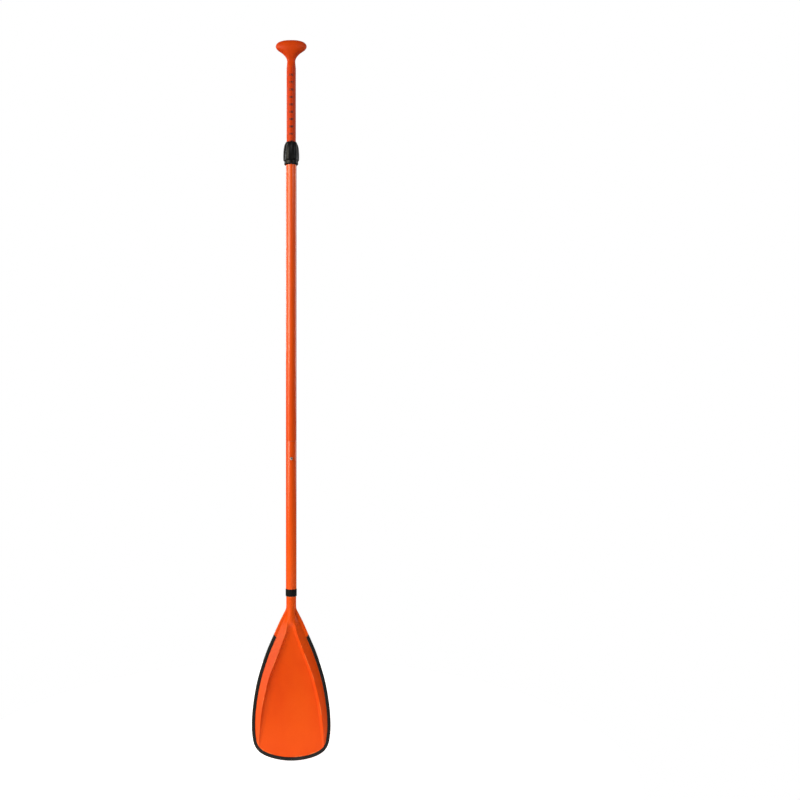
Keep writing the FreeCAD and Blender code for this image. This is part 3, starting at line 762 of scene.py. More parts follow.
# ---------------------------------------------------------------- blade
@dataclass
class BladeShape:
    """The blade's lines, shared by its panel and by the guard round its rim."""

    length: float = 420 * MM
    blade_slope: float = 0.209
    bend_span: float = 110 * MM
    bend_below_collar: float = 1.4 * MM
    guard_cover: float = 9 * MM
    guard_end: float = 0.755
    guard_slant: float = 1.1
    # Share of the length, share of the half width, from the neck to the tip.
    outline: Sequence[Pair] = (
        (0.945, 0.132), (0.921, 0.143), (0.886, 0.199), (0.844, 0.286), (0.762, 0.437), (0.639, 0.654),
        (0.478, 0.863), (0.320, 0.975), (0.200, 1.000), (0.120, 0.964), (0.080, 0.904), (0.048, 0.785),
        (0.024, 0.590), (0.006, 0.300), (0.0, 0.0),
    )

    def __post_init__(self) -> None:
        """Trace the outline from the right shoulder to the left one, and the guard's inner edge."""
        low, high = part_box("edge_guard")
        self.tip = low.z
        self.half_width = (high.x - low.x) / 2
        right = [(w * self.half_width, s * self.length) for s, w in self.outline]
        left = [(-x, z) for x, z in reversed(right[:-1])]
        self.trace = curve_through(right + left, 16)
        self.middle = len(self.trace) // 2
        self.inner = [self.beside(i, self.guard_cover) for i in range(self.middle + 1)]

    def beside(self, i: int, depth: float) -> Pair:
        """The point that lies a depth inside the outline's point number i."""
        before, after = self.trace[max(i - 1, 0)], self.trace[min(i + 1, len(self.trace) - 1)]
        along = Vector((after[0] - before[0], after[1] - before[1])).normalized()
        x, z = self.trace[i]
        return (x + along.y * depth, z - along.x * depth)

    @staticmethod
    def on_level(points: Sequence[Pair], level: float) -> float:
        """The number, with its fraction, of the place where the right half of a line crosses a level."""
        levels = [-z for _, z in points]
        i = min(max(bisect.bisect_left(levels, -level), 1), len(points) - 1)
        a, b = levels[i - 1], levels[i]
        return i - 1 + min(max((-level - a) / (b - a), 0.0), 1.0)

    @staticmethod
    def at_number(points: Sequence[Pair], number: float) -> Pair:
        """The point of a line at a number with a fraction."""
        i = min(int(number), len(points) - 2)
        t = number - i
        return tuple(p + (q - p) * t for p, q in zip(points[i], points[i + 1]))

    def rim(self, share: float) -> float:
        """Half width of the outline at a share of the length."""
        half = self.trace[:self.middle + 1]
        return self.at_number(half, self.on_level(half, share * self.length))[0]

    def open_part(self, inner: Pair, outer: Pair) -> float:
        """How much of the way from an inner point to the rim lies above the guard's slanted end, 0 to 1."""
        foot = self.guard_end * self.length - self.guard_slant * self.rim(self.guard_end)
        start, end = (level - foot - self.guard_slant * x for x, level in (inner, outer))
        if start <= 0:
            return 0.0
        return 1.0 if end >= 0 else start / (start - end)

    def forward(self, share: float) -> float:
        """How far the rim plane stands in front of the shaft's axis at a share of the length."""
        bend_middle = self.length - self.bend_below_collar - self.bend_span / 2
        below_bend = bend_middle + self.bend_span / 2 - share * self.length
        if below_bend <= 0:
            return 0.0
        if below_bend < self.bend_span:
            return self.blade_slope * below_bend ** 2 / (2 * self.bend_span)
        return self.blade_slope * (bend_middle - share * self.length)

    def point(self, x: float, height: float, share: float) -> Point:
        """A point on the blade, from its place across, height over the rim plane and share of the length."""
        return (x, -(self.forward(share) + height), self.tip + share * self.length)


@dataclass
class BladePanel:
    """Ribbed panel, neck and hidden plug of the blade, in one skin."""

    shape: BladeShape
    rim_half: float = 1.5 * MM
    rim_flank_rise: float = 0.3 * MM
    crest_clearance: float = 1 * MM
    front_rounding: float = 0.9 * MM
    back_rounding: float = 7 * MM
    neck_radius: float = 13.5 * MM
    plug_radius: float = 12.9 * MM
    plug_length: float = 45 * MM
    neck_start: float = 0.885
    neck_end: float = 0.950
    collar_shares: Sequence[float] = (0.965, 0.98, 0.992)
    corner_share: float = 0.135
    rows: int = 120
    neck_rows: int = 18
    # Share of the length, share of the half width, height over the rim plane in mm, from the tip.
    rib_crest: Sequence[Row] = (
        (-0.03, 0.800, 1.8), (0.06, 0.812, 3.6), (0.12, 0.814, 7.0), (0.20, 0.795, 11.0), (0.30, 0.748, 13.4),
        (0.40, 0.671, 14.2), (0.505, 0.557, 14.0), (0.607, 0.395, 13.5), (0.721, 0.214, 13.5),
        (0.785, 0.130, 13.3), (0.82, 0.105, 12.8), (0.85, 0.098, 12.2), (0.885, 0.090, 11.4),
    )
    # Share of the length, the middle's height, then the rib's foot: place across and height.
    panel_front: Sequence[Row] = (
        (-0.03, 1.6, 0.770, 1.7), (0.06, 2.3, 0.785, 2.8), (0.12, 2.9, 0.780, 4.0), (0.20, 3.6, 0.750, 4.9),
        (0.30, 4.1, 0.700, 5.3), (0.40, 4.7, 0.622, 5.6), (0.505, 4.9, 0.507, 5.8),
        (0.607, 5.3, 0.345, 6.1), (0.721, 6.1, 0.158, 6.7), (0.770, 7.1, 0.079, 7.4),
        (0.810, 9.0, 0.029, 9.2), (0.828, 12.8, 0.006, 12.8), (0.842, 14.6, 0.028, 14.4),
        (0.862, 15.3, 0.052, 14.2), (0.885, 15.3, 0.057, 13.6),
    )
    # The same for the back: the spine's height, then two lines: place across and height.
    panel_back: Sequence[Row] = (
        (-0.03, -1.7, 0.22, -1.7, 0.45, -1.6), (0.12, -4.5, 0.34, -4.1, 0.63, -2.9),
        (0.25, -3.5, 0.38, -3.2, 0.66, -2.3), (0.43, -3.1, 0.30, -2.7, 0.59, -1.9),
        (0.62, -3.2, 0.21, -2.5, 0.46, -1.7), (0.76, -4.1, 0.124, -2.6, 0.27, -1.6),
        (0.81, -5.0, 0.105, -3.3, 0.21, -1.6), (0.845, -7.0, 0.086, -4.9, 0.16, -1.8),
        (0.885, -11.0, 0.067, -9.5, 0.130, -3.5),
    )
    # Columns between one line and the next, and the turn of each line on the neck's circle in degrees.
    blocks: Sequence[int] = (14, 9, 11)
    turns: Sequence[float] = (90.0, 64.0, 48.0, 25.0)
    # Steps outwards from the guard's inner edge, to the lip under the guard or the open rim.
    lip_steps: Sequence[float] = (0.055, 0.25, 0.45, 0.62, 0.72, 0.75)
    rim_steps: Sequence[float] = (0.20, 0.42, 0.65, 0.87, 0.96, 1.0)
    # How much of the height each of those steps keeps.
    fullness: Sequence[float] = (1.0, 1.0, 1.0, 1.0, 0.72, 0.0)
    easing_samples: int = 8
    back_limit: float = 0.6
    levelling: float = 1.5
    lip_start: float = 0.02
    lip_edge: float = 0.03
    butt_gap: float = 0.1 * MM
    plug_chamfer: float = 1 * MM

    def __post_init__(self) -> None:
        """List the columns of the right half as (block, share of the block), from the middle outwards."""
        self.columns = [(0, 0.0)]
        for block, count in enumerate(self.blocks):
            self.columns += [(block, (1 - math.cos(math.pi * i / count)) / 2) for i in range(1, count + 1)]

    def at(self, table: Sequence[Row], share: float, column: int = 1) -> Pair:
        """Place across and height of one of the blade's lines, from two columns of a table."""
        across = smooth_value(table, share, column) * self.shape.half_width
        return across, smooth_value(table, share, column + 1) * MM

    def corners(self, share: float) -> list[Pair]:
        """The front's corners from the middle to the rim, as places across and heights."""
        foot = self.at(self.panel_front, share, 2)
        crest = self.at(self.rib_crest, share)
        middle = (0.0, smooth_value(self.panel_front, share, 1) * MM)
        level = max(share, self.corner_share) * self.shape.length
        inner = self.shape.at_number(self.shape.inner, self.shape.on_level(self.shape.inner, level))[0]
        flank = max(inner, crest[0] + self.crest_clearance)
        rim = flank + self.shape.guard_cover
        return [middle, foot, crest, (flank, self.rim_half + self.rim_flank_rise), (rim, self.rim_half)]

    def heights(self, share: float, x: float) -> Pair:
        """Heights of the front and of the back at one place.

        Args:
            share: Share of the blade's length.
            x: Place across, on the right half.

        Returns:
            The front's height and the back's height.
        """
        middle, foot, crest, flank, rim = self.corners(share)
        halfway = (foot[0] / 2, middle[1] + (foot[1] - middle[1]) / 4)
        front = [(-foot[0], foot[1]), (-halfway[0], halfway[1]), middle, halfway, foot, crest, flank, rim]
        spine = (0.0, smooth_value(self.panel_back, share, 1) * MM)
        inner, outer = self.at(self.panel_back, share, 2), self.at(self.panel_back, share, 4)
        back = [(-inner[0], inner[1]), spine, inner, outer, (rim[0], -self.rim_half)]
        reach_front = min(self.front_rounding, CORNER_LIMIT * (crest[0] - foot[0]))
        reach_back = min(self.back_rounding, self.back_limit * inner[0])
        return self.eased(front, x, reach_front), self.eased(back, x, reach_back)

    def eased(self, points: Sequence[Pair], x: float, reach: float) -> float:
        """The mean of a line of straight runs over a reach to both sides, which rounds its corners."""
        count = self.easing_samples
        shares = [(i + 0.5) / count * 2 - 1 for i in range(count)]
        return sum(straight_value(points, x + reach * share) for share in shares) / len(shares)

    def across(self, block: int, part: float, share: float) -> float:
        """Place across of a column at a share of the length."""
        lines = self.corners(share)
        start, end = lines[block][0], lines[block + 1][0]
        return start + (end - start) * part

    def start_of(self, block: int, part: float) -> float:
        """The number on the guard's inner edge where a column starts."""
        shape = self.shape
        low = shape.on_level(shape.inner, self.corner_share * shape.length)
        high = float(len(shape.inner) - 1)
        for _ in range(32):
            middle = (low + high) / 2
            x, level = shape.at_number(shape.inner, middle)
            if self.across(block, part, level / shape.length) < x:
                low = middle
            else:
                high = middle
        return low

    def outwards(self, number: float, share: float) -> Pair:
        """The outline's point beside a point of the guard's inner edge, levelled towards the neck.

        Args:
            number: The inner point's number.
            share: The inner point's share of the length.

        Returns:
            Place across and height above the tip.
        """
        shape = self.shape
        x, level = shape.at_number(shape.trace, number)
        if share > shape.guard_end:
            span = self.neck_start - shape.guard_end
            blended = min(1.0, (share - shape.guard_end) / span * self.levelling)
            level += (share * shape.length - level) * blended
            x = shape.rim(level / shape.length)
        return x, level

    def strip(self, x: float, share: float, number: float) -> list[Row]:
        """Points from the panel's border outwards, as (across, share, front height, back height).

        Args:
            x: Place across of the border's point.
            share: Its share of the length.
            number: Its number on the guard's inner edge.

        Returns:
            The strip's points, the last one in the rim plane.
        """
        end_x, end_level = self.outwards(number, share)
        start_level = share * self.shape.length
        high, low = self.heights(share, x)
        free = self.shape.open_part((x, start_level), (end_x, end_level))
        made = []
        for step, full in zip(self.steps(free), self.fullness):
            level = start_level + (end_level - start_level) * step
            bare = 1 - step if step <= free else 0.0
            front = (self.rim_half + (high - self.rim_half) * bare) * full
            back = (-self.rim_half + (low + self.rim_half) * bare) * full
            made.append((x + (end_x - x) * step, level / self.shape.length, front, back))
        return made

    def steps(self, free: float) -> Sequence[float]:
        """Where a strip's points lie on the way out to the rim.

        Args:
            free: The part of the way that the guard leaves bare.

        Returns:
            The steps, the last one at the lip's edge under the guard or at the open rim.
        """
        if free <= 0:
            return self.lip_steps
        if free >= self.lip_steps[-2]:
            return [step * free for step in self.rim_steps]
        lip = self.lip_steps[-1]
        start = free + self.lip_start
        return [free / 2, free, start, (start + lip) / 2, lip - self.lip_edge * (lip - free), lip]

    def panel_row(self, up: float) -> list[Row]:
        """One row of the right half as (across, share, front height, back height).

        Args:
            up: 0 along the guard's inner edge at the tip, 1 at the start of the neck.

        Returns:
            The row's points, from the middle out to the rim.
        """
        row = []
        for (block, part), number in zip(self.columns, self.starts):
            start = self.shape.at_number(self.shape.inner, number)[1] / self.shape.length
            share = start + (self.neck_start - start) * up
            x = self.across(block, part, share)
            row.append((x, share, *self.heights(share, x)))
        x, share = row[-1][:2]
        number = self.shape.on_level(self.shape.inner, share * self.shape.length)
        return row + self.strip(x, share, number)

    def neck_row(self, start: Sequence[Row], part: float) -> list[Row]:
        """One row of the right half where the panel becomes the round neck.

        Args:
            start: The panel's last row.
            part: 0 at that row, 1 where the neck is round.

        Returns:
            The row's points, as panel_row gives them.
        """
        share = self.neck_start + (self.neck_end - self.neck_start) * part
        ease = part * part * (3 - 2 * part)
        width = self.shape.rim(share) * (1 - ease) + self.neck_radius * ease
        turns = [self.turns[b] + (self.turns[b + 1] - self.turns[b]) * p for b, p in self.columns]
        turns += [self.turns[-1] * (1 - step) for step in self.rim_steps]
        row = []
        for (x, _, high, low), turn in zip(start, turns):
            angle = math.radians(turn)
            across = ((1 - ease) * x / start[-1][0] + ease * math.cos(angle)) * width
            swell = ease * self.neck_radius * math.sin(angle)
            row.append((across, share, (1 - ease) * high + swell, (1 - ease) * low - swell))
        return row

    def add_row(self, shell: Shell, right: Sequence[Row]) -> tuple[Ring, Ring]:
        """Add one row and its mirror image, front and back, which share their outermost points.

        Args:
            shell: The skin to add to.
            right: The right half's points.

        Returns:
            The front's points and the back's points, from left to right.
        """
        both = [(-x, *rest) for x, *rest in reversed(right[1:])] + list(right)
        front = shell.ring(self.shape.point(x, high, share) for x, share, high, _ in both)
        back = shell.ring(self.shape.point(x, low, share) for x, share, _, low in both[1:-1])
        return front, [front[0], *back, front[-1]]

    def add_tip(self, shell: Shell, front: Ring, back: Ring) -> None:
        """Carry the first row's border down to the lip along the tip.

        Args:
            shell: The skin to add to.
            front: The first row's front points.
            back: The first row's back points.
        """
        steps = len(self.lip_steps)
        strips = []
        for number in self.starts[:-1]:
            x, level = self.shape.at_number(self.shape.inner, number)
            strips.append(self.strip(x, level / self.shape.length, number))
        last_front, last_back = front[steps:-steps], back[steps:-steps]
        for j in range(steps):
            right = [strip[j] for strip in strips]
            both = [(-x, *rest) for x, *rest in reversed(right[1:])] + right
            ends = (steps - 1 - j, len(front) - steps + j)
            inner = shell.ring(self.shape.point(x, high, share) for x, share, high, _ in both)
            row_front = [front[ends[0]], *inner, front[ends[1]]]
            if j < steps - 1:
                inner = shell.ring(self.shape.point(x, low, share) for x, share, _, low in both)
            row_back = [back[ends[0]], *inner, back[ends[1]]]
            shell.join(last_front, row_front, closed=False)
            shell.join(last_back, row_back, closed=False)
            last_front, last_back = row_front, row_back

    def build(self) -> bpy.types.Object:
        """Skin the blade from the tip up to the plug's end.

        Returns:
            The blade.
        """
        self.starts = [self.start_of(block, part) for block, part in self.columns]
        shell = Shell()
        rows = [self.panel_row(i / self.rows) for i in range(self.rows + 1)]
        rows += [self.neck_row(rows[-1], i / self.neck_rows) for i in range(1, self.neck_rows + 1)]
        pairs = [self.add_row(shell, row) for row in rows]
        fronts = [front for front, _ in pairs]
        backs = [back for _, back in pairs]
        shell.skin(fronts, closed=False)
        shell.skin(backs, closed=False)
        self.add_tip(shell, fronts[0], backs[0])
        self.add_plug(shell, fronts[-1] + list(reversed(backs[-1][1:-1])))
        return shell.make("blade_moulding")

    def add_plug(self, shell: Shell, loop: Ring) -> None:
        """Carry the neck's ring up to the tube and on as the plug inside it."""
        low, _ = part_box("lower_tube")
        turns = [math.atan2(vert.co.y - loop[0].co.y, vert.co.x) for vert in loop]
        top = low.z + self.plug_length
        levels = [
            (self.neck_radius, self.shape.tip + share * self.shape.length) for share in self.collar_shares
        ]
        levels += [(self.neck_radius, low.z - self.butt_gap), (self.plug_radius, low.z - self.butt_gap / 2)]
        levels += [(self.plug_radius, top - self.plug_chamfer), (self.plug_radius - self.plug_chamfer, top)]
        rings = [loop]
        for radius, level in levels:
            forward = self.shape.forward((level - self.shape.tip) / self.shape.length)
            rings.append(shell.ring(
                (radius * math.cos(a), radius * math.sin(a) - forward, level) for a in turns
            ))
        shell.skin(rings)
        shell.cap(rings[-1])


@dataclass
class EdgeGuard:
    """Rubber channel that is pushed over the blade's rim from shoulder to shoulder."""

    shape: BladeShape
    half_thickness: float = 3.3 * MM
    groove_half: float = 1.55 * MM
    lip: float = 2.15 * MM
    blade_gap: float = 0.05 * MM
    corner_rounding: float = 2.4 * MM
    corner_steps: int = 6
    shear_length: float = 40 * MM
    spacing: float = 2.5 * MM

    def section(self) -> list[Pair]:
        """The channel's section as (distance inwards, height over the rim plane)."""
        cover = self.shape.guard_cover - self.blade_gap
        corners = [
            (0.0, -self.half_thickness), (0.0, self.half_thickness), (cover, self.half_thickness),
            (cover, self.groove_half), (self.lip, self.groove_half), (self.lip, -self.groove_half),
            (cover, -self.groove_half), (cover, -self.half_thickness),
        ]
        return rounded(corners, self.corner_rounding, self.corner_steps)

    def path(self) -> tuple[list[Row], list[float]]:
        """The outline from the right shoulder round the tip to the left, and the distance along it."""
        limit = self.shape.guard_end * self.shape.length
        points = [point for point in self.shape.trace if point[1] <= limit]
        along = [0.0]
        for a, b in zip(points, points[1:]):
            along.append(along[-1] + math.dist(a, b))
        return points, along

    def build(self) -> bpy.types.Object:
        """Sweep the section along the rim.

        Returns:
            The guard.
        """
        points, along = self.path()
        total = along[-1]

        def where(distance: float) -> tuple[Vector, Vector]:
            """The point at a distance along the rim, and the direction inwards there."""
            i = min(max(bisect.bisect_right(along, distance), 1), len(along) - 1)
            a, b = Vector(points[i - 1]), Vector(points[i])
            t = (distance - along[i - 1]) / (along[i] - along[i - 1])
            return a.lerp(b, t), self.inward(points, i, t)

        _, shoulder = where(0.0)
        lean = math.atan2(-shoulder.y, -shoulder.x)
        slant = self.shape.guard_slant
        shear = (slant * math.cos(lean) - math.sin(lean)) / (math.cos(lean) + slant * math.sin(lean))
        count = round(total / self.spacing)
        section = self.section()
        shell = Shell()
        rings = []
        for i in range(count + 1):
            distance = total * i / count
            start = max(0.0, 1 - distance / self.shear_length)
            ends = start - max(0.0, 1 - (total - distance) / self.shear_length)
            ring = []
            for depth, height in section:
                place, inwards = where(min(max(distance + shear * depth * ends, 0.0), total))
                flat = place + inwards * depth
                share = flat.y / self.shape.length
                ring.append(self.shape.point(flat.x, height, share))
            rings.append(shell.ring(ring))
        shell.skin(rings)
        for ring in (rings[0], rings[-1]):
            shell.mesh.faces.new(ring)
        return shell.make("rim_guard")

    @staticmethod
    def inward(points: Sequence[Row], i: int, t: float) -> Vector:
        """The direction inwards at a point between two points of the rim, eased from one to the next."""
        def normal(k: int) -> Vector:
            """Direction inwards at one point."""
            a, b = Vector(points[max(k - 1, 0)]), Vector(points[min(k + 1, len(points) - 1)])
            along = (b - a).normalized()
            return Vector((along.y, -along.x))

        return normal(i - 1).lerp(normal(i), t).normalized()


# ---------------------------------------------------------------- shaft
@dataclass
class Shaft:
    """Lower and middle tubes, the blade's collar and the snap button."""

    wall: float = 1.5 * MM
    rim: float = 0.35 * MM
    turned_down: float = 0.3 * MM
    button_gap: float = 0.3 * MM
    stud_radius: float = 4 * MM
    flange_thickness: float = 1.2 * MM
    dome_step: int = 9
    seat_gap: float = 0.05 * MM
    neck_inset: float = 0.95 * MM
    butt_gap: float = 0.1 * MM
    collar_rounding: float = 0.6 * MM
    segments: int = 96
    small_segments: int = 48

    def build(self, finishes: Finishes) -> None:
        """Make and dress every piece of the shaft."""
        orange = finishes.get(Slot.SHAFT)
        dress(self.lower_tube(), Slot.SHAFT, Body.SHAFT, orange, "lower_tube")
        dress(self.middle_tube(), Slot.SHAFT, Body.SHAFT, orange, "middle_tube")
        dress(self.collar(), Slot.BLACK, Body.SHAFT, finishes.get(Slot.BLACK), "blade_collar")
        dress(self.button(), Slot.STEEL, Body.BUTTON, finishes.get(Slot.STEEL), "snap_button")

    def lower_tube(self) -> bpy.types.Object:
        """Lower tube with the round hole that the snap button shows through."""
        low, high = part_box("lower_tube")
        stud_low, stud_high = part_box("snap_button")
        level = (stud_low.z + stud_high.z) / 2
        hole = self.stud_radius + self.button_gap
        return self.pierced(low.z, high.z, high.x, level, hole).make("lower_shaft_tube")

    def pierced(self, low: float, high: float, radius: float, level: float, hole: float) -> Shell:
        """A tube with a round hole in its front wall.

        Args:
            low: Lower end.
            high: Upper end.
            radius: Outer radius.
            level: Height of the hole's middle.
            hole: Radius of the hole.

        Returns:
            The skin.
        """
        shell = turned(tube_profile(radius - self.wall, radius, low, high, self.rim), self.segments)
        cutter = bmesh.new()
        sizes = {"segments": self.small_segments, "radius1": hole, "radius2": hole, "depth": 2 * radius}
        bmesh.ops.create_cone(cutter, cap_ends=True, **sizes)
        for vert in cutter.verts:
            x, y, z = vert.co
            vert.co = (x, -radius + z, level + y)
        return self.cut(shell, cutter)

    @staticmethod
    def cut(shell: Shell, cutter: bmesh.types.BMesh) -> Shell:
        """Cut one skin by another with a boolean that is applied at once."""
        made = []
        for name, source in (("tube_blank", shell.mesh), ("hole_cutter", cutter)):
            bmesh.ops.recalc_face_normals(source, faces=source.faces)
            data = bpy.data.meshes.new(name)
            source.to_mesh(data)
            source.free()
            made.append(bpy.data.objects.new(name, data))
            bpy.context.scene.collection.objects.link(made[-1])
        blank, tool = made
        modifier = blank.modifiers.new("hole", "BOOLEAN")
        modifier.operation = "DIFFERENCE"
        modifier.solver = "EXACT"
        modifier.object = tool
        bpy.context.view_layer.update()
        evaluated = blank.evaluated_get(bpy.context.evaluated_depsgraph_get())
        result = Shell()
        result.mesh.from_mesh(evaluated.to_mesh())
        for piece in made:
            data = piece.data
            bpy.data.objects.remove(piece)
            bpy.data.meshes.remove(data)
        return result

    def middle_tube(self) -> bpy.types.Object:
        """Middle tube, turned down at the top inside the lock."""
        low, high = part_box("middle_tube")
        lock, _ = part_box("lock_base")
        radius = high.x
        thin = radius - self.turned_down
        profile = [
            (radius - self.wall, low.z), (radius, low.z), (radius, lock.z), (thin, lock.z),
            (thin, high.z), (radius - self.wall, high.z),
        ]
        return turned(rounded(profile, self.rim)).make("middle_shaft_tube")

    def collar(self) -> bpy.types.Object:
        """Black band over the step between the lower tube and the blade's neck."""
        low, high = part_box("blade_collar")
        tube_low, tube_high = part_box("lower_tube")
        seat = tube_high.x + self.seat_gap
        neck = tube_high.x - self.neck_inset
        step = tube_low.z - self.butt_gap
        profile = [
            (neck, low.z), (high.x, low.z), (high.x, high.z), (seat, high.z), (seat, step), (neck, step),
        ]
        return turned(rounded(profile, self.collar_rounding, 5)).make("collar_band")

    def button(self) -> bpy.types.Object:
        """Domed stud with its flange inside the spigot."""
        low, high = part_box("snap_button")
        level = (low.z + high.z) / 2
        inner, tip = -high.y, -low.y
        stud, flange = self.stud_radius, (high.x - low.x) / 2
        dome = [
            (stud * math.cos(a), tip - stud / 2 + stud / 2 * math.sin(a))
            for a in (math.radians(t) for t in range(0, 90, self.dome_step))
        ]
        neck = inner + self.flange_thickness
        shell = Shell()
        turns = full_turn(self.small_segments)
        shell.solid([
            shell.ring((radius * math.cos(a), -out, level + radius * math.sin(a)) for a in turns)
            for radius, out in ((flange, inner), (flange, neck), (stud, neck), *dome)
        ])
        return shell.make("snap_stud")


# ---------------------------------------------------------------- twist lock
@dataclass
class TwistLock:
    """Fixed rim and fluted barrel that lock the upper tube."""

    lobes: int = 6
    lobe_depth: float = 0.9 * MM
    twist: float = math.radians(14)
    flute_fade: float = 7 * MM
    flute_start: float = 0.35
    flute_growth: float = 8.0
    flute_sharpness: float = 1.6
    foot_gap: float = 0.4 * MM
    stem_gap: float = 0.35 * MM
    mouth_gap: float = 0.5 * MM
    stem_inset: float = 0.25 * MM
    stem_wall: float = 2.35 * MM
    tube_wall: float = 1.5 * MM
    rim_chamfer: float = 2.4 * MM
    rim_rounding: float = 0.8 * MM
    rim_segments: int = 128
    shoulder_gap: float = 1.3 * MM
    collet_gap: float = 0.35 * MM
    cone_top: float = 1.75 * MM
    cone_foot: float = 2.95 * MM
    cone_rise: float = 1 * MM
    chamfer: float = 0.5 * MM
    levels: int = 56
    segments: int = 180
    # Share of the barrel's height, how far it stands out from the shaft in mm.
    profile: Sequence[Row] = (
        (0.0, 5.4), (0.032, 6.1), (0.111, 6.4), (0.308, 6.4), (0.526, 5.8), (0.704, 4.9), (0.842, 3.2),
        (0.941, 1.4), (1.0, 0.1),
    )

    def build(self, finishes: Finishes) -> None:
        """Make and dress the lock's two visible pieces."""
        black = finishes.get(Slot.BLACK)
        dress(self.base(), Slot.BLACK, Body.SHAFT, black, "lock_base")
        dress(self.barrel(), Slot.BLACK, Body.BARREL, black, "lock_barrel")

    def base(self) -> bpy.types.Object:
        """Fixed rim below the barrel with the stem inside it."""
        low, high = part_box("lock_base")
        barrel_low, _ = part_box("lock_barrel")
        _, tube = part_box("middle_tube")
        bore = tube.x - self.stem_inset
        stem = bore + self.stem_wall
        rim = high.x
        rim_top = barrel_low.z - self.foot_gap
        profile = [
            (bore, low.z), (rim - self.rim_chamfer, low.z), (rim, low.z + self.rim_chamfer), (rim, rim_top),
            (stem, rim_top), (stem, high.z), (bore, high.z),
        ]
        return turned(rounded(profile, self.rim_rounding, 5), self.rim_segments).make("lock_rim")

    def outside(self, share: float, turn: float, low: float, high: float, shaft: float) -> Point:
        """A point on the barrel's fluted outside.

        Args:
            share: Share of the barrel's height.
            turn: Angle about the axis.
            low: Barrel's lower edge.
            high: Barrel's upper edge.
            shaft: Radius of the shaft.

        Returns:
            The point.
        """
        level = low + share * (high - low)
        radius = shaft + smooth_value(self.profile, share, 1) * MM
        lean = self.twist * share
        fade = min(1.0, (high - level) / self.flute_fade)
        fade *= min(1.0, self.flute_start + share * self.flute_growth)
        wave = math.cos(self.lobes * (turn - lean))
        scoop = 1 - ((1 - wave) / 2) ** self.flute_sharpness * 2
        radius += self.lobe_depth * fade * scoop
        return (radius * math.cos(turn), radius * math.sin(turn), level)

    def barrel(self) -> bpy.types.Object:
        """Egg-shaped barrel with leaning flutes, its bore over the stem and the collet."""
        low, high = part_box("lock_barrel")
        _, stem_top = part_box("lock_base")
        _, collet_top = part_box("collet")
        _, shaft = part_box("middle_tube")
        _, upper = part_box("upper_tube")
        shell = Shell()
        turns = full_turn(self.segments)
        shares = [(1 - math.cos(math.pi * i / self.levels)) / 2 for i in range(self.levels + 1)]
        rings = [
            shell.ring(self.outside(share, turn, low.z, high.z, shaft.x) for turn in turns)
            for share in shares
        ]
        stem = shaft.x - self.stem_inset + self.stem_wall + self.stem_gap
        bore = shaft.x - self.tube_wall
        mouth = upper.x + self.mouth_gap
        shoulder = stem_top.z + self.shoulder_gap
        roof = collet_top.z + self.collet_gap
        inside = [
            (mouth + self.chamfer, high.z), (mouth, high.z - self.chamfer), (mouth, roof),
            (bore + self.cone_top, roof), (bore + self.cone_foot, shoulder + self.cone_rise),
            (stem, shoulder), (stem, low.z + self.chamfer), (stem + self.chamfer, low.z),
        ]
        rings += [shell.circle(radius, level, self.segments) for radius, level in inside]
        shell.skin(rings + rings[:1])
        return shell.make("twist_barrel")


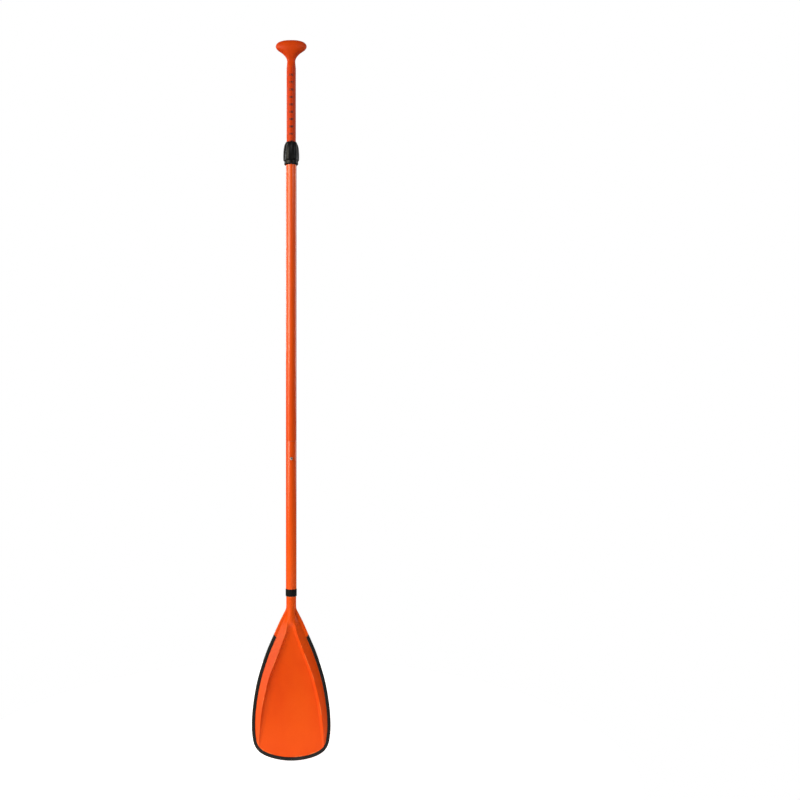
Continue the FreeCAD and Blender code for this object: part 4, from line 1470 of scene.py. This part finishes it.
# ---------------------------------------------------------------- handle
@dataclass
class Handle:
    """Telescopic upper tube, its printed scale and the palm grip."""

    wall: float = 1.2 * MM
    rim: float = 0.35 * MM
    grip_length: float = 74 * MM
    plug_gap: float = 0.1 * MM
    plug_chamfer: float = 1 * MM
    ring_points: int = 96
    # From the top: depth, half width, back and front edge from the axis, roundness of the section.
    sections: Sequence[Row] = (
        (0.0, 9.0, 2.2, 7.2, 2.0), (0.4, 17.0, -0.5, 9.5, 2.0), (1.6, 25.0, -3.5, 12.0, 2.05),
        (5.5, 35.0, -7.5, 15.8, 2.1), (11.0, 40.4, -10.6, 18.8, 2.15), (18.0, 42.0, -12.2, 20.4, 2.2),
        (25.0, 37.5, -12.9, 20.2, 2.2), (33.0, 25.5, -12.9, 18.0, 2.3), (41.0, 16.8, -11.6, 13.8, 2.5),
        (48.0, 12.6, -9.0, 9.2, 2.9), (55.0, 11.2, -7.4, 7.2, 3.2), (64.0, 11.7, -10.4, 9.8, 2.6),
        (71.0, 12.4, -12.4, 12.2, 2.1), (73.9, 12.7, -12.7, 12.7, 2.0),
    )
    top_mark: float = 834 * MM
    mark_pitch: float = 20 * MM
    first_number: int = 175
    last_number: int = 215
    digit_height: float = 5.6 * MM
    cap_share: float = 0.7
    boldness: float = 0.34 * MM
    tick_width: float = 3.2 * MM
    tick_height: float = 0.45 * MM
    ink: float = 0.05 * MM
    facet: float = 0.9 * MM
    cuts_per_side: int = 5

    def build(self, finishes: Finishes) -> None:
        """Make and dress every piece of the handle."""
        dress(self.upper_tube(), Slot.UPPER, Body.HANDLE, finishes.get(Slot.UPPER), "upper_tube")
        dress(self.grip(), Slot.GRIP, Body.HANDLE, finishes.get(Slot.GRIP), "t_grip")
        dress(self.scale(), Slot.UPPER, Body.HANDLE, SCALE_INK.material())

    def upper_tube(self) -> bpy.types.Object:
        """Telescopic tube."""
        low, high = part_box("upper_tube")
        profile = tube_profile(high.x - self.wall, high.x, low.z, high.z, self.rim)
        return turned(profile).make("upper_shaft_tube")

    def grip(self) -> bpy.types.Object:
        """Palm grip: a rounded crossbar, a flattened waist and a round foot with a plug in the tube."""
        low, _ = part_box("t_grip")
        _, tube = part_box("upper_tube")
        top = tube.z + self.grip_length
        shell = Shell()
        rings = []
        for depth, half_width, back, front, power in curve_through(self.sections, 8):
            sizes = (half_width * MM, back * MM, front * MM, power)
            rings.append(shell.ring(self.section(top - depth * MM, *sizes)))
        plug = tube.x - self.wall - self.plug_gap
        foot = ((plug, tube.z), (plug, low.z + self.plug_chamfer), (plug - self.plug_chamfer, low.z))
        for radius, level in foot:
            rings.append(shell.ring(self.section(level, radius, -radius, radius, 2.0)))
        shell.solid(rings)
        return shell.make("palm_grip_moulding")

    def section(
        self, level: float, half_width: float, back: float, front: float, power: float
    ) -> list[Row]:
        """An oval of the grip at one level.

        Args:
            level: Height.
            half_width: Half width across.
            back: Distance of the back edge in front of the axis, so usually below 0.
            front: Distance of the front edge in front of the axis.
            power: 2 for an ellipse, more for flatter sides.

        Returns:
            The oval's points.
        """
        middle, half_depth = (front + back) / 2, (front - back) / 2
        points = []
        for turn in full_turn(self.ring_points):
            cosine, sine = math.cos(turn), math.sin(turn)
            across = math.copysign(abs(cosine) ** (2 / power), cosine) * half_width
            depth = math.copysign(abs(sine) ** (2 / power), sine) * half_depth
            points.append((across, -(middle + depth), level))
        return points

    def scale(self) -> bpy.types.Object:
        """Printed numbers down the front of the upper tube, with a short tick between each two."""
        _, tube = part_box("upper_tube")
        shell = Shell()
        numbers = range(self.first_number, self.last_number + 1, 2)
        for i, number in enumerate(numbers):
            level = self.top_mark - i * self.mark_pitch
            self.print_number(shell.mesh, str(number), level, tube.x)
            self.print_tick(shell.mesh, level - self.mark_pitch / 2, tube.x)
        return shell.make("length_scale")

    def print_number(self, made: bmesh.types.BMesh, text: str, level: float, radius: float) -> None:
        """Print one number on the tube's front."""
        curve = bpy.data.curves.new("digits", "FONT")
        curve.body = text
        curve.size = self.digit_height / self.cap_share
        curve.align_x = "CENTER"
        curve.align_y = "CENTER"
        curve.resolution_u = 3
        curve.extrude = self.ink / 2
        curve.offset = self.boldness
        source = bpy.data.objects.new("digits", curve)
        bpy.context.scene.collection.objects.link(source)
        bpy.context.view_layer.update()
        data = bpy.data.meshes.new_from_object(source.evaluated_get(bpy.context.evaluated_depsgraph_get()))
        part = bmesh.new()
        part.from_mesh(data)
        self.wrap(part, made, level, radius)
        bpy.data.objects.remove(source)
        bpy.data.curves.remove(curve)
        bpy.data.meshes.remove(data)

    def print_tick(self, made: bmesh.types.BMesh, level: float, radius: float) -> None:
        """Print one short line on the tube's front."""
        part = bmesh.new()
        bmesh.ops.create_cube(part, size=1.0)
        for vert in part.verts:
            x, y, z = vert.co
            vert.co = (x * self.tick_width, y * self.tick_height, z * self.ink)
        self.wrap(part, made, level, radius)

    def wrap(self, part: bmesh.types.BMesh, made: bmesh.types.BMesh, level: float, radius: float) -> None:
        """Lay flat ink round the tube and add it to the scale."""
        bmesh.ops.triangulate(part, faces=part.faces)
        bmesh.ops.remove_doubles(part, verts=part.verts, dist=0.001 * MM)
        for step in range(-self.cuts_per_side, self.cuts_per_side + 1):
            cut = step * self.facet
            geometry = part.verts[:] + part.edges[:] + part.faces[:]
            bmesh.ops.bisect_plane(part, geom=geometry, plane_co=(cut, 0, 0), plane_no=(1, 0, 0))
        for vert in part.verts:
            x, y, z = vert.co
            out = radius + z + self.ink / 2
            angle = x / radius
            vert.co = (out * math.sin(angle), -out * math.cos(angle), level + y)
        data = bpy.data.meshes.new("ink")
        part.to_mesh(data)
        part.free()
        made.from_mesh(data)
        bpy.data.meshes.remove(data)


# ---------------------------------------------------------------- hidden pieces
HIDDEN = {
    "blade_pins": Slot.STEEL,
    "lower_foam_plug": Slot.FOAM,
    "spigot": Slot.BARE,
    "seam_ring": Slot.SEAL,
    "button_spring": Slot.SPRING,
    "middle_foam_plug": Slot.FOAM,
    "lock_ring": Slot.SEAL,
    "collet": Slot.COLLET,
    "wiper_ring": Slot.SEAL,
    "guide_plug": Slot.GUIDE,
    "upper_foam_plug": Slot.FOAM,
}


def dress_hidden(finishes: Finishes) -> None:
    """Give the frame's own pieces inside the tubes and the lock their materials."""
    for node, slot in HIDDEN.items():
        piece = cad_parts[node]
        material = finishes.get(slot)
        if not piece.data.materials:
            piece.data.materials.append(material)
        for place in piece.material_slots:
            place.material = material
        LOG.info("%s: finish %s", node, slot.value)


# ---------------------------------------------------------------- studio
@dataclass
class Studio:
    """Pale floor, soft lights and the camera."""

    distance: float = 2.59
    eye_level: float = -0.047
    lens: float = 42.8
    sensor: float = 36.0
    shift: float = 0.136
    floor_gap: float = 3 * MM
    floor_rings: Sequence[float] = (0.15, 0.3, 0.5, 0.7, 0.9)
    floor_points: int = 96
    floor_glow: float = 0.80
    soft_world: float = 0.10
    # Name, place, width and height, watts, colour.
    lights: Sequence[tuple[str, Point, Pair, float, Colour]] = (
        ("side", (-2.9, -1.2, 0.8), (0.7, 3.0), 64.0, (1.0, 0.93, 0.66)),
        ("key", (-2.6, -2.6, 0.9), (0.7, 2.0), 61.0, (1.0, 0.96, 0.82)),
        ("front", (-2.0, -3.9, 1.9), (1.6, 2.2), 18.0, (1.0, 1.0, 1.0)),
        ("fill", (1.1, -1.3, 1.4), (0.5, 0.9), 7.0, (1.0, 1.0, 1.0)),
        ("rear", (-2.4, 2.6, 1.4), (1.0, 2.6), 44.0, (1.0, 1.0, 1.0)),
        ("far_side", (2.9, 1.0, 0.9), (0.8, 2.6), 34.0, (1.0, 1.0, 1.0)),
    )

    def camera(self) -> None:
        """Stand the camera in front of the paddle, level with its middle."""
        data = bpy.data.cameras.new("camera")
        data.lens = self.lens
        data.sensor_width = self.sensor
        data.shift_x = self.shift
        data.clip_end = 100.0
        camera = bpy.data.objects.new("camera", data)
        camera.location = (0.0, -self.distance, self.eye_level)
        camera.rotation_euler = (math.radians(90), 0.0, 0.0)
        bpy.context.scene.collection.objects.link(camera)
        bpy.context.scene.camera = camera

    def floor(self) -> None:
        """A wide pale floor just under the blade's tip."""
        shell = Shell()
        level = CAD_BOX[0].z - self.floor_gap
        rings = [shell.circle(radius, level, self.floor_points) for radius in self.floor_rings]
        shell.skin(rings)
        shell.cap(rings[0])
        floor = shell.make("floor")
        graph = Graph("floor_paint")
        tone = graph.noise(0.7, 3.0, 0.5)
        colour = graph.blend(tone, (0.93, 0.93, 0.93), (0.97, 0.97, 0.97))
        material = graph.finish(
            Base_Color=colour, Roughness=0.85, Emission_Color=(1.0, 1.0, 1.0),
            Emission_Strength=self.floor_glow,
        )
        floor.data.materials.append(material)

    def light(self, name: str, place: Point, size: Pair, power: float, tint: Colour) -> None:
        """Hang one soft light that faces the paddle's middle.

        Args:
            name: The light's name.
            place: Where it hangs.
            size: Its width and height.
            power: Its power in watts.
            tint: Its colour.
        """
        data = bpy.data.lights.new(name, "AREA")
        data.shape = "RECTANGLE"
        data.size, data.size_y = size
        data.energy = power
        data.color = tint
        light = bpy.data.objects.new(name, data)
        light.location = place
        aim = Vector((0.0, 0.0, self.eye_level)) - Vector(place)
        light.rotation_euler = aim.to_track_quat("-Z", "Y").to_euler()
        bpy.context.scene.collection.objects.link(light)

    def world(self) -> None:
        """White surroundings that light the paddle only softly."""
        world = bpy.data.worlds.new("studio")
        world.use_nodes = True
        bpy.context.scene.world = world
        tree = world.node_tree
        seen = tree.nodes["Background"]
        soft = tree.nodes.new("ShaderNodeBackground")
        for background, strength in ((seen, 1.0), (soft, self.soft_world)):
            background.inputs["Color"].default_value = (1.0, 1.0, 1.0, 1.0)
            background.inputs["Strength"].default_value = strength
        rays = tree.nodes.new("ShaderNodeLightPath")
        mix = tree.nodes.new("ShaderNodeMixShader")
        tree.links.new(rays.outputs["Is Camera Ray"], mix.inputs[0])
        tree.links.new(soft.outputs[0], mix.inputs[1])
        tree.links.new(seen.outputs[0], mix.inputs[2])
        tree.links.new(mix.outputs[0], tree.nodes["World Output"].inputs["Surface"])

    def build(self) -> None:
        """Set up the whole studio."""
        self.camera()
        self.floor()
        self.world()
        for light in self.lights:
            self.light(*light)
        bpy.context.scene.view_settings.view_transform = "Standard"
        LOG.info("studio ready")


def main() -> None:
    """Build the studio, then each sub-assembly in order."""
    logging.basicConfig(level=logging.INFO, format="%(name)s: %(message)s")
    Studio().build()
    finishes = Finishes()
    shape = BladeShape()
    dress(BladePanel(shape).build(), Slot.BLADE, Body.SHAFT, finishes.get(Slot.BLADE), "blade")
    dress(EdgeGuard(shape).build(), Slot.GUARD, Body.SHAFT, finishes.get(Slot.GUARD), "edge_guard")
    Shaft().build(finishes)
    TwistLock().build(finishes)
    Handle().build(finishes)
    dress_hidden(finishes)


if __name__ == "__main__":
    main()
